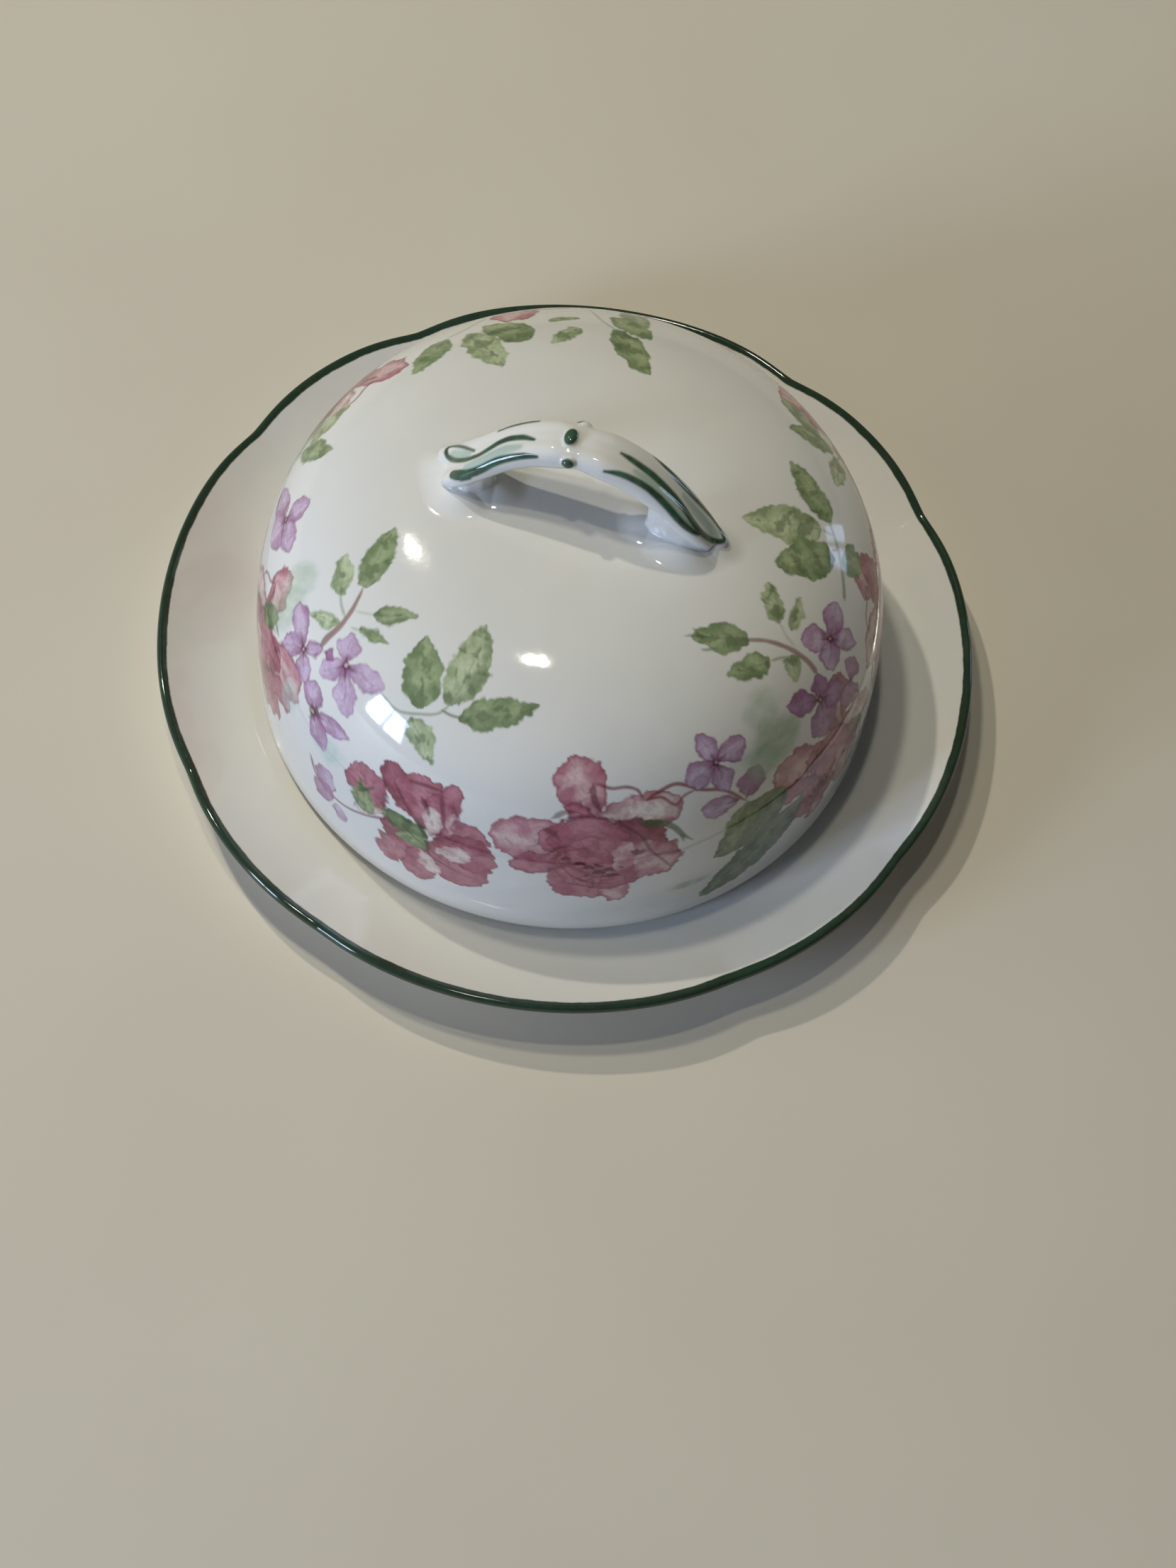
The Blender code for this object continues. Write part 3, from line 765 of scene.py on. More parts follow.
    def line(self, places, width, colour, opacity, end=None):
        """A brushed line through places, its width tapering to end at the last one."""
        self.seed += 1
        end = width if end is None else end
        first = places[0][0]
        at = np.linspace(0, 1, 14 * (len(places) - 1) + 1)
        angles = curve(np.array([first + turn_between(first, place[0]) for place in places], float), at)
        downs = curve(np.array([place[1] for place in places], float), at)
        points = on_dome(angles, downs)[0]
        middle = len(at) // 2
        reach = float(np.linalg.norm(points - points[middle], axis=1).max()) + width + 1.5
        where, x, y, patch = self.near(angles[middle], downs[middle], reach)
        path = flatten(points, patch)
        steps = np.diff(path, axis=0)
        best, share = np.full(len(x), 1e9), np.zeros(len(x))
        for i, ((from_x, from_y), step) in enumerate(zip(path, steps)):
            along = ((x - from_x) * step[0] + (y - from_y) * step[1]) / max(float(step @ step), 1e-9)
            along = np.clip(along, 0, 1)
            away = np.hypot(x - from_x - along * step[0], y - from_y - along * step[1])
            nearer = away < best
            best = np.where(nearer, away, best)
            share = np.where(nearer, (i + along) / len(steps), share)
        whole = float(np.linalg.norm(steps, axis=1).sum())
        drawn = np.minimum(share, 1 - share) * whole / min(2.2 * max(width, 0.4), 0.25 * whole + 0.01)
        half = 0.5 * (width + (end - width) * share) * (1 + 0.12 * noise(x, y, self.seed, 2.0))
        cover = smooth((half * (0.30 + 0.70 * smooth(drawn)) - best) / 0.56 + 0.5)
        keep = cover > 0.004
        rgb = colour * (1 + 0.12 * noise(x, y, self.seed + 2, 2.5))[keep, None]
        self.lay(where[:, keep], cover[keep] * opacity, rgb)

    def wash(self, place, wide, tall, colour, opacity):
        """A soft-edged patch of thin colour."""
        self.seed += 1
        where, x, y, _ = self.near(*place, max(wide, tall) * 1.3)
        away = np.hypot(x / wide, y / tall) * (1 + 0.25 * noise(x, y, self.seed, 4.0))
        patchy = np.clip(0.85 + 0.35 * noise(x, y, self.seed + 4, 2.2), 0, 1.2)
        cover = smooth((1.05 - away) / 0.55) * opacity * patchy
        keep = cover > 0.004
        self.lay(where[:, keep], cover[keep], colour)

    def leaf(self, base, tip, width, shade, side, bend=0.0):
        self.blade(base, tip, width * 0.94, LEAF_SHADES[shade], bend=bend, belly=0.42, point=0.74,
                   frill=0.12, rim=0.35, rib=0.40, veins=0.10, side=side * 0.75, root=0.35,
                   ruffle=0.55, blots=0.62, teeth=0.32 if width > 4 else 0.15)

    def petal(self, base, tip, width, shade, side=0.0, streaks=0.15, root=0.5, rim=0.85, point=0.5):
        hemmed = shade in ("pale", "cream") and width > 5.5 and rim > 0.5
        self.blade(base, tip, width, PETAL_SHADES[shade], belly=0.6, point=point, frill=0.14,
                   rim=rim * 0.8, side=side, root=root, streaks=streaks, ruffle=0.8, blots=0.35,
                   folds=0.30, hem=2.0 if hemmed else 0.0)

    def lilac(self, centre, tips, widths, shade, heart=1.0):
        """Pointed petals from the centre to each tip, with a small pale eye if there are several."""
        for n, (tip, width) in enumerate(zip(tips, widths)):
            self.blade(centre, tip, width * 1.02, LILAC_SHADES[shade], belly=0.54, point=0.80,
                       frill=0.14, rim=0.85, root=0.6, side=0.45 if n % 2 else -0.45, rib=0.35,
                       ruffle=0.5, blots=0.30, folds=0.25, opacity=0.92)
        for angle, down in tips:
            towards = (centre[0] + turn_between(centre[0], angle) * 0.30,
                       centre[1] + (down - centre[1]) * 0.30)
            self.line([centre, towards], 0.8 * heart, LILAC_DEEP, 0.55, end=0.2)
        if len(tips) > 2:
            self.wash(centre, heart, heart, LILAC_DEEP, 0.75)
            self.wash(centre, 0.42 * heart, 0.42 * heart, LILAC_EYE, 0.8)

    def blossom(self, centre, reach, turn, shade="mid"):
        """A lilac blossom of four petals at right angles."""
        tips = []
        for n, size in enumerate((1.0, 0.85, 1.05, 0.8)):
            angle = math.radians(turn + 90 * n)
            tips.append(beside(centre, reach * size * math.cos(angle), reach * size * math.sin(angle)))
        self.lilac(centre, tips, [reach * size for size in (0.82, 0.74, 0.8, 0.72)], shade)

    def sprig(self, root, leaves):
        """Leaves round a root, all but the first on a stem: (right, up) of base and tip, width."""
        for n, (base, tip, width) in enumerate(leaves):
            start = beside(root, *base)
            if n:
                bend = beside(root, base[0] * 0.5, base[1] * 0.62)
                self.line([root, bend, start], 0.8, STEM_GREEN, 0.8, end=0.45)
            self.leaf(start, beside(root, *tip), width, ("mid", "pale")[n % 2], (0.8, -0.8)[n % 2])

    def flower(self, strokes, centre, size=1.0, turn=0.0, flip=1.0):
        """A flower drawn flat, laid on the cover; a flip of -1 mirrors it."""
        cos, sin = math.cos(math.radians(turn)), math.sin(math.radians(turn))

        def at(place):
            x, y = place[0] * size * flip, place[1] * size
            return beside(centre, x * cos - y * sin, x * sin + y * cos)

        for motif, rows in strokes:
            for row in rows:
                if motif == "line":
                    places, width, colour, opacity, end = row
                    self.line([at(p) for p in places], width * size, colour, opacity, end * size)
                else:
                    base, tip, width, shade, side, *more = row
                    draw = getattr(self, motif)
                    draw(at(base), at(tip), width * size, shade, side * flip, *more)

    def rose(self, *placing):
        self.flower(ROSE_STROKES, *placing)

    def peony(self, *placing):
        self.flower(PEONY_STROKES, *placing)


# The two large flowers, drawn flat: places are (right, up) in mm from the flower's middle.
# petal: base, tip, width, shade, side shaded, then as needed streaks, root, rim, point
# leaf: base, tip, width, shade, side shaded
# line: places, width, colour, opacity, end width
PEONY_STROKES = [
    ("petal", [
        ((-12.9, -0.8), (-21, 8.4), 11.4, "mid", 0, 0.1),
        ((-5.8, 3.9), (-13.5, 14.6), 7.1, "dark", 0, 0.15, 0.6),
        ((-3.7, 2.1), (-5.6, 15.8), 13, "mid", 0, 0.4, 0.6),
        ((-1.9, 0.4), (1.5, 16.3), 7.1, "mid", 0, 0.5), ((-0.6, -0.6), (9.5, 7), 10, "mid", 0, 0.3),
        ((-3.1, -1), (-12.7, -6.1), 9.8, "dark", 0, 0.5),
        ((-2.1, -1.8), (-12.5, -16.4), 9.9, "mid", 0, 0.3),
        ((-2.1, -2.3), (10.4, -11.3), 14.4, "mid", 0, 0.4),
        ((-1.5, -1.3), (12.6, -0.8), 11.9, "mid", 0.6, 0.3),
        ((-2.9, -4.1), (-4.2, -19.3), 8, "mid", 0, 0.2),
        ((-0.3, -4.5), (7.2, -1.4), 5.1, "cream", 0, 0.15, 0.2, 0.2),
        ((-1.3, 0.2), (-1.7, 9.1), 4.2, "cream", 0, 0.15, 0.2, 0.3),
        ((1.9, 3.5), (2.1, 10.3), 3.3, "pale", 0, 0.15, 0.2, 0.3),
        ((-3.8, -6), (0.6, -13.2), 4.7, "cream", 0, 0.15, 0.1, 0.3),
    ]),
    ("line", [
        ([(-8.3, 13), (-4.5, 13.9), (-0.9, 14.4)], 1.1, ROSE_DEEP, 0.6, 0.6),
        ([(-11.1, 10.3), (-8.8, 7.5), (-6.2, 4.5)], 1.3, ROSE_DEEP, 0.6, 0.6),
        ([(-4.8, 10.6), (-3.1, 8.2), (-2.5, 6.2)], 1.5, ROSE_DEEP, 0.65, 0.6),
        ([(-0.8, 13), (0.2, 9.2), (1.1, 4.9)], 1.3, ROSE_DEEP, 0.6, 0.8),
        ([(-0.2, -7.1), (2.7, -8.4), (5.5, -9.4)], 0.8, ROSE_DEEP, 0.6, 0.4),
        ([(2.1, 12.2), (3, 8.7), (1.8, 4.4)], 0.9, ROSE_DEEP, 0.4, 0.4),
    ]),
    ("leaf", [
        ((-2.2, -0.8), (-13.9, 0), 6.6, "dark", 0.5), ((-2.1, -2.3), (-9.5, -5.7), 5.3, "mid", 0.5),
    ]),
    ("line", [([(-4.8, 3.7), (-3.3, 1), (-2, -3.3), (-1.5, -6.4)], 1.6, GREEN_DEEP, 0.75, 0.5)]),
    ("petal", [((-12.6, -0), (-19.4, -6), 2.5, "cream", 0, 0.15, 0.1, 0.2)]),
    ("leaf", [((-17.2, -4.8), (-18.5, 4), 6.5, "mid", 0.4)]),
    ("line", [
        ([(-19.8, 0.3), (-17.3, 3.1), (-15, 5.9)], 1.3, GREEN_DEEP, 0.7, 0.6),
        ([(-18.4, 2.3), (-19, 4.5), (-19.8, 5)], 1.2, GREEN_DARK, 0.7, 0.5),
        ([(-20.2, -6.1), (-19.2, -2.2), (-19.8, 0.3)], 0.9, GREEN_DARK, 0.6, 0.6),
        ([(-12.8, -9.1), (-10.9, -7.6)], 0.9, GREEN_DARK, 0.6, 0.9),
    ]),
]
ROSE_STROKES = [
    ("petal", [
        ((-1.6, 13.7), (-6.4, 27.3), 9.8, "pale", -0.4, 0.15, 0.8, 0.8),
        ((-2.1, 14.1), (-7.4, 17), 4.6, "mid", 0),
        ((-2.1, 13.8), (16, 13.7), 10.1, "cream", -0.75, 0.15, 0.75, 0.8),
        ((0.7, 12.2), (12.2, 4.2), 10.5, "dark", 0, 0.3),
        ((3.4, 6.4), (15.2, -4.6), 12.2, "pale", 0.5, 0.2, 0.5, 0.8),
        ((-2, 6.5), (-23, 7.1), 12.9, "pale", 0.35, 0.3, 0.5, 0.75),
        ((-5.3, 7), (-12.7, 9.8), 8.1, "mid", 0, 0.3), ((-6.6, 2.5), (-18.2, -1.2), 7.3, "mid", 0, 0.2),
        ((-2, 5), (-2.2, -11.8), 18, "mid", 0, 0.35, 0.5, 0.85, 0.42),
        ((1.3, -2.5), (3.7, -14), 6.8, "pale", 0, 0.1),
        ((-2.1, -3.5), (-3.2, 14.5), 15.6, "mid", 0, 0.2, 0.3, 0.85, 0.45),
        ((0.8, -3.2), (5.7, 6.8), 6.4, "pale", 0, 0.15, 0.4, 0.5),
        ((-1.5, -3.6), (-6.7, 6.9), 4.8, "mid", 0, 0.15, 0.5, 0.7),
        ((-0.6, -4.7), (-0.5, 6), 6.4, "mid", 0, 0.15, 0.7, 0.7),
        ((-0.7, -8.2), (-9.1, -0.1), 5, "mid", 0, 0.15, 0.5, 0.6),
        ((-0.7, -8.2), (4.6, -4.5), 5.1, "mid", 0, 0.15, 0.5, 0.6),
    ]),
    ("line", [
        ([(-5.6, 0.9), (-4.4, 1.3), (-3.2, 0.6)], 1.5, ROSE_DEEP, 0.9, 0.8),
        ([(-3.6, -0.4), (-2.4, 0.0), (-1.4, -1.0)], 1.6, ROSE_DEEP, 0.9, 0.9),
        ([(-1.6, 0.9), (-0.6, 0.2), (0.6, 0.0)], 1.2, ROSE_DEEP, 0.85, 0.6),
        ([(-1.8, -2.3), (-0.4, -1.8), (0.9, -2.6)], 1.7, ROSE_DEEP, 0.9, 0.9),
        ([(0.4, -1.0), (1.8, -1.2), (2.8, -2.2)], 1.5, ROSE_DEEP, 0.9, 0.7),
        ([(0.9, -3.8), (2.3, -3.3), (3.6, -3.6)], 1.5, ROSE_DEEP, 0.9, 0.8),
        ([(-8.3, 2.2), (-7.2, 3), (-6.3, 2.1)], 1.3, ROSE_DEEP, 0.8, 0.7),
        ([(-3.4, -3.3), (-2.6, -3.0)], 1.1, ROSE_DEEP, 0.8, 0.7),
        ([(3.6, -0.4), (4.4, -1.2)], 1.0, ROSE_DEEP, 0.75, 0.6),
        ([(-7.6, -0.6), (-5.8, -3.4), (-2.6, -5.6), (1.4, -6.6), (4.6, -6.0)], 0.7, ROSE_DARK, 0.6, 0.4),
        ([(-9.4, 1.4), (-9.0, 3.6), (-6.8, 5.4), (-3.4, 6.2)], 0.8, ROSE_DARK, 0.6, 0.5),
        ([(-4.9, -4), (-3.4, -5.1), (-1.5, -4.1)], 1, ROSE_DEEP, 0.6, 0.5),
        ([(-10.9, 3.9), (-9, 5.9), (-6.7, 6.7)], 1.2, ROSE_DEEP, 0.65, 0.4),
        ([(-11.9, 11.1), (-9.9, 9.8), (-8.5, 8)], 1.8, ROSE_DEEP, 0.5, 0.5),
        ([(-10.2, 13.8), (-7.7, 15.4), (-4.9, 15.5)], 1.6, ROSE_DEEP, 0.6, 0.5),
        ([(-8.5, 13.3), (-4.4, 14.5), (-0.2, 14), (3.2, 12.8)], 1, ROSE_DEEP, 0.6, 0.7),
        ([(3.2, 12.5), (5.9, 10), (8, 7.6), (9.6, 3.7), (12.5, -0.7), (14.6, -4.3)],
         0.9, ROSE_DEEP, 0.6, 0.5),
        ([(5.8, 4.2), (7.6, 3.4), (8.4, 4.5)], 2.2, ROSE_DEEP, 0.65, 0.8),
        ([(-4.8, 8.6), (-2.2, 9.4), (0.3, 8)], 0.6, ROSE_DARK, 0.5, 0.3),
        ([(-1.3, 21.7), (1.5, 20.6), (4.3, 20.6), (6.6, 19.6), (7.7, 17.6)], 0.7, ROSE_DARK, 0.8, 0.6),
        ([(-2.1, 21.7), (-2.1, 19), (-0.7, 15.7)], 1.5, ROSE_DEEP, 0.6, 1.2),
        ([(7.5, 11.9), (11.3, 11), (14.1, 9), (16.3, 5.9), (18.6, 3.3)], 2, GREEN_DARK, 0.8, 0.8),
        ([(7.5, 11.5), (9.9, 11), (11.9, 11)], 2.2, GREEN_DEEP, 0.75, 1),
        ([(16, 6.2), (16.7, 3.7)], 1, GREEN_DARK, 0.7, 0.6),
    ]),
]

# The garland in the order it is painted, places being (degrees around, mm down from the crown).
# Each row holds the arguments of the Painter method it is listed under.
GARLAND = [
    # right: a mirrored rose and lilac
    ("wash", [((20, 78), 9, 8, WASH_GREEN, 0.55), ((12, 92), 8, 5, WASH_MINT, 0.5)]),
    ("blossom", [((17, 84), 6.2, 20), ((21.5, 73), 5.8, 55), ((25.5, 92), 5.6, -10, "dark")]),
    ("leaf", [((12, 86), (18, 101), 6.5, "dark", 0.6)]),
    ("rose", [((1.0, 83), 0.86, 14, -1)]),
    ("line", [([(8, 76), (14, 80), (20, 76), (27, 80)], 0.9, STEM_RED, 0.85, 0.7)]),
    # back right: a rose, a sprig and lilac
    ("leaf", [((33, 90), (28, 102), 6.5, "dark", -0.6)]),
    ("wash", [((38, 66), 8, 6, WASH_MINT, 0.5)]),
    ("rose", [((41, 82), 0.9, -22)]),
    ("leaf", [((52, 96), (58, 104), 5.5, "mid", 0.6)]),
    ("sprig", [((30, 66), [((0, 4), (5, 15), 6.5), ((-2, 3), (-10, 9), 6.0), ((3, 6), (14, 10), 6.0)])]),
    ("wash", [((62, 80), 9, 10, WASH_GREEN, 0.5)]),
    ("blossom", [((59, 74), 6.0, 30), ((65, 84), 6.2, 75), ((60, 94), 5.4, 10, "dark")]),
    ("line", [([(52, 76), (58, 80), (66, 78), (72, 84)], 0.9, STEM_RED, 0.85, 0.6)]),
    ("petal", [((62, 69), (63.5, 61), 6.0, "mid")]),
    # back: a peony and a rose, with lilac beside them
    ("peony", [((79, 84), 1.0, 8)]),
    ("wash", [((90, 96), 7, 5, WASH_MINT, 0.5)]),
    ("leaf", [((86, 62), (80, 50), 6.5, "mid", 0.8)]),
    ("rose", [((104, 80), 1.0, -4, -1)]),
    ("leaf", [((93, 94), (88, 104), 6.5, "dark", 0.6)]),
    ("wash", [((124, 82), 9, 9, WASH_GREEN, 0.6)]),
    ("blossom", [((122, 70), 6.0, 25), ((127, 80), 6.2, 70), ((121, 90), 5.8, -15, "dark"),
                 ((130, 93), 5.0, 30)]),
    ("line", [([(112, 78), (118, 80), (126, 74), (134, 79)], 0.9, STEM_RED, 0.85, 0.7)]),
    # back left: a rose, a mirrored peony and a sprig
    ("rose", [((151, 78), 0.95, 10)]),
    ("peony", [((172, 90), 0.86, -12, -1)]),
    ("leaf", [((140, 92), (133, 103), 6.5, "dark", -0.6)]),
    ("wash", [((162, 66), 7, 6, WASH_GREEN, 0.5)]),
    ("sprig", [((166, 70), [((0, 3), (2, 15), 6.0), ((-2, 5), (-12, 11), 5.5)])]),
    ("blossom", [((165, 76), 5.6, 40)]),
    # left: a mirrored rose
    ("rose", [((-159, 88), 0.92, 24, -1)]),
    ("leaf", [((-164, 78), (-158, 70), 6.0, "dark", 0.5)]),
    # right of the front: a rose behind the dark leaves
    ("rose", [((-31, 88), 0.9, -30)]),
    ("petal", [((4.0, 76), (2.5, 62), 8.0, "mid"), ((43.0, 72), (36.5, 61), 9.0, "mid")]),
    # front left: a sprig of four leaves
    ("line", [
        ([(-128, 57.5), (-123.5, 58), (-119, 56), (-115.5, 54), (-114, 51.5)],
         0.5, STEM_GREEN, 0.8, 0.4),
        ([(-115, 53), (-112.5, 53), (-109.5, 52.5)], 0.5, GREEN_DARK, 0.8),
    ]),
    ("leaf", [
        ((-119, 55), (-129, 43), 9.1, "mid", 0.8), ((-114, 51.5), (-117, 34), 8.8, "pale", -0.9, -0.06),
        ((-111, 53), (-94, 46), 6.8, "mid", -0.9), ((-120.5, 57.5), (-112.5, 64), 5.8, "pale", -0.6, 0.05),
    ]),
    # left: a sprig rising from the lilac
    ("line", [
        ([(-145.5, 63.5), (-146, 59.5), (-146, 55.5), (-147, 52), (-149, 49), (-151, 47)],
         1.7, STEM_BROWN, 0.85, 0.5),
        ([(-146.5, 53.5), (-150, 53), (-153, 52)], 0.7, STEM_GREEN, 0.6, 0.4),
        ([(-144, 53.5), (-141.5, 52)], 0.4, STEM_GREEN, 0.5),
        ([(-146.5, 51), (-142, 47.5)], 0.4, STEM_GREEN, 0.35),
    ]),
    ("leaf", [
        ((-152, 52.5), (-161.5, 48.5), 4.8, "pale", 0.9), ((-150.5, 47.5), (-164.5, 37.5), 6.6, "mid", 0.8),
        ((-142.5, 48), (-135, 41.5), 4.2, "mid", -0.6), ((-146.5, 55.5), (-153.5, 60.5), 3.5, "pale", 0.6),
        ((-142, 52), (-134.5, 49), 2.6, "mid", 0.6),
    ]),
    # left: lilac
    ("wash", [
        ((-158.5, 67), 5.5, 7.5, WASH_GREEN, 0.5), ((-161.5, 60), 5, 5.5, WASH_GREEN, 0.45),
        ((-133.5, 79), 5.5, 4.5, WASH_MINT, 0.6), ((-146.5, 79), 4, 6, WASH_MINT, 0.5),
    ]),
    ("lilac", [
        ((-177.5, 64.5), [(-179, 57), (173, 71), (-169, 62.5), (-176, 71.5)],
         [5.7, 6.3, 5.6, 10.2], "mid"),
        ((-148.5, 66), [(-157.5, 62), (-154, 71.5), (-144, 71), (-145, 61.5)],
         [5.6, 5.3, 5.1, 3.6], "mid"),
        ((-138.5, 59), [(-143, 54), (-142.5, 65.5), (-128, 56.5), (-132, 67.5)],
         [5.5, 4.6, 5.2, 5.7], "pale", 1.2),
        ((-144.5, 61.5), [(-141.5, 60.5)], [2.6], "dark", 0.7),
    ]),
    ("leaf", [((-139.5, 72.5), (-135, 80), 4.5, "dark", 0.6)]),
    ("lilac", [((-139.5, 74), [(-142.5, 67.5), (-129.5, 71), (-134, 80.5)], [6.3, 4.5, 5.9], "mid", 1.5)]),
    ("line", [([(-137.5, 86.5), (-135.5, 91.5), (-132, 93), (-127, 92), (-121, 87.5), (-115, 81.5)],
               0.9, LILAC_DEEP, 0.75, 0.7)]),
    ("lilac", [
        ((-136, 89), [(-130, 89.5)], [9.4], "mid", 0.5), ((-136, 93), [(-131, 96)], [8.5], "dark", 0.5),
        ((-131, 97.5), [(-127, 97)], [5.1], "pale", 0.4),
    ]),
    # front left: the peony; front: the full rose
    ("peony", [((-108, 83),)]),
    ("rose", [((-78.5, 82),)]),
    # front right: lilac on a red stem
    ("line", [
        ([(-70.5, 65), (-67.5, 63.5), (-64, 63), (-59.5, 66), (-55, 68.5), (-51, 74)],
         0.8, STEM_RED, 0.85, 0.8),
        ([(-70.5, 65), (-67.5, 65), (-65, 67.5), (-63, 66), (-60.5, 65.5)], 0.7, STEM_RED, 0.8, 0.5),
    ]),
    ("lilac", [
        ((-55.5, 61.5), [(-57.5, 54.5), (-48, 60), (-62.5, 64), (-54.5, 69)],
         [4.5, 5.6, 6.7, 4.6], "mid"),
        ((-51, 73.5), [(-47.5, 66.5)], [6.7], "dark", 0.7),
        ((-52.5, 72.5), [(-60.5, 71.5)], [5.4], "mid", 0.7),
    ]),
    # front right: dark leaves beside the lilac
    ("wash", [
        ((-41, 64.5), 7, 6, WASH_GREEN, 0.75), ((-46, 67), 5.5, 5, WASH_GREEN, 0.7),
        ((-42, 57), 5, 5, WASH_GREEN, 0.45),
    ]),
    ("leaf", [
        ((-42.5, 77), (-57.5, 89), 14.0, "dark", -0.5), ((-38, 86.5), (-59.5, 104.5), 13.5, "dark", 0.7),
        ((-50.5, 74.5), (-54, 88), 8.5, "mid", 0.6),
    ]),
    ("wash", [((-62, 96), 5.5, 1.6, WASH_GREEN, 0.7)]),
    # right: the bud sprig and its lilac
    ("line", [
        ([(-35.5, 43.5), (-31, 47), (-28, 51.5), (-26.5, 56.5), (-26.5, 60.5)],
         0.7, STEM_BROWN, 0.8, 1.3),
        ([(-33.5, 50.5), (-30.5, 52), (-27, 55)], 0.5, STEM_GREEN, 0.7, 0.6),
        ([(-24.5, 47), (-26, 49.5), (-26.5, 52.5)], 0.4, STEM_GREEN, 0.4),
    ]),
    ("leaf", [((-34.5, 44.5), (-47, 36.5), 6.7, "mid", -0.5)]),
    ("line", [
        ([(-43.5, 38.5), (-46, 37), (-49, 36)], 1, GREEN_DARK, 0.6, 0.4),
        ([(-44.5, 38.5), (-45, 36.5), (-45, 35.5)], 0.8, GREEN_DARK, 0.6, 0.3),
        ([(-43, 41.5), (-46, 40.5), (-47, 40)], 0.8, GREEN_DARK, 0.6, 0.3),
    ]),
    ("leaf", [
        ((-33.5, 50.5), (-45, 47), 5.6, "mid", 0.8), ((-25, 47), (-16.5, 40.5), 4.7, "pale", -0.7),
        ((-24, 50), (-15.5, 48.5), 3.5, "pale", 0.7), ((-28.5, 53), (-32, 57.5), 4.2, "pale", 0.4),
    ]),
    ("lilac", [
        ((-18.5, 58.5), [(-24, 52.5), (-10, 56.5), (-13.5, 66), (-23.5, 63)],
         [5.5, 5.9, 4.4, 6.1], "mid"),
        ((-29, 65), [(-37, 60), (-31, 74), (-22, 69), (-26, 60.5)], [5.2, 9.0, 6.1, 4.8], "dark"),
        ((-20, 69.5), [(-16, 67.5), (-23, 74.5)], [7.0, 8.4], "dark"),
    ]),
    # right: leaves higher up
    ("line", [
        ([(16, 51.5), (8.5, 52.5), (2.5, 54.5), (-4.5, 57), (-8.5, 58.5)], 0.5, STEM_GREEN, 0.75, 0.9),
        ([(5.5, 50.5), (5, 53)], 0.6, STEM_GREEN, 0.7), ([(1, 53), (2, 54.5)], 0.6, STEM_GREEN, 0.7),
    ]),
    ("leaf", [
        ((5, 50.5), (2.5, 32.5), 9.5, "pale", -0.9), ((8, 52.5), (25, 46), 7.1, "mid", 0.7),
        ((0, 53.5), (-10.5, 41), 9.4, "mid", 0.9), ((2, 56), (0.5, 62.5), 8.8, "mid", 0.8),
    ]),
    # back: leaves over the shoulder
    ("line", [([(115.5, 60), (122, 56), (127.5, 55)], 0.6, STEM_GREEN, 0.5)]),
    ("leaf", [
        ((127.5, 54.5), (142, 49), 6.8, "mid", 0.5), ((123.5, 53), (121, 37), 7.6, "pale", -0.7),
        ((109, 44.5), (119.5, 54), 8.2, "mid", 0.6), ((96, 47), (105, 41.5), 4.2, "pale", 0.6),
        ((96, 52), (104, 50.5), 2.3, "mid", 0.6),
    ]),
    ("line", [([(94, 58.5), (91, 51.5), (86.5, 47)], 0.5, STEM_GREEN, 0.5)]),
    ("leaf", [((87, 47.5), (73, 35), 7.2, "mid", -0.7), ((88.5, 54), (77, 47), 6.7, "mid", 0.6)]),
]


# --- Materials ---
class Graph:
    """Short ways to add nodes to a tree. Values may be sockets, numbers or linear colours."""

    def __init__(self, tree):
        self.tree = tree

    def feed(self, socket, value):
        if isinstance(value, bpy.types.NodeSocket):
            self.tree.links.new(value, socket)
        elif isinstance(value, (int, float)):
            socket.default_value = value
        else:
            socket.default_value = (*map(float, value), 1.0)

    def node(self, kind, **inputs):
        node = self.tree.nodes.new(kind)
        for name, value in inputs.items():
            self.feed(node.inputs[name], value)
        return node

    def math(self, operation, first, second, clamp=False):
        node = self.node("ShaderNodeMath")
        node.operation, node.use_clamp = operation, clamp
        self.feed(node.inputs[0], first)
        self.feed(node.inputs[1], second)
        return node.outputs[0]

    def swing(self, value, amount):
        """A noise made to swing about zero."""
        return self.math("MULTIPLY", self.math("SUBTRACT", value, 0.5), amount)

    def blend(self, share, first, second):
        node = self.node("ShaderNodeMix")
        node.data_type = "RGBA"
        for index, value in ((0, share), (6, first), (7, second)):
            self.feed(node.inputs[index], value)
        return node.outputs[2]

    def ramp(self, value, start, end):
        """start and end are (position, grey level)."""
        node = self.node("ShaderNodeValToRGB")
        for element, (position, level) in zip(node.color_ramp.elements, (start, end)):
            element.position, element.color = position, (level, level, level, 1)
        self.feed(node.inputs[0], value)
        return node.outputs[0]

    def noise(self, scale, detail=3.0, roughness=0.5):
        node = self.node("ShaderNodeTexNoise", Scale=scale, Detail=detail, Roughness=roughness,
                         Vector=self.place)
        return node.outputs["Fac"]

    def attribute(self, name):
        node = self.node("ShaderNodeAttribute")
        node.attribute_name = name
        return node.outputs


def new_material(name):
    made = bpy.data.materials.new(name)
    made.use_nodes = True
    graph = Graph(made.node_tree)
    graph.place = graph.node("ShaderNodeNewGeometry").outputs["Position"]
    return made, graph, made.node_tree.nodes["Principled BSDF"].inputs


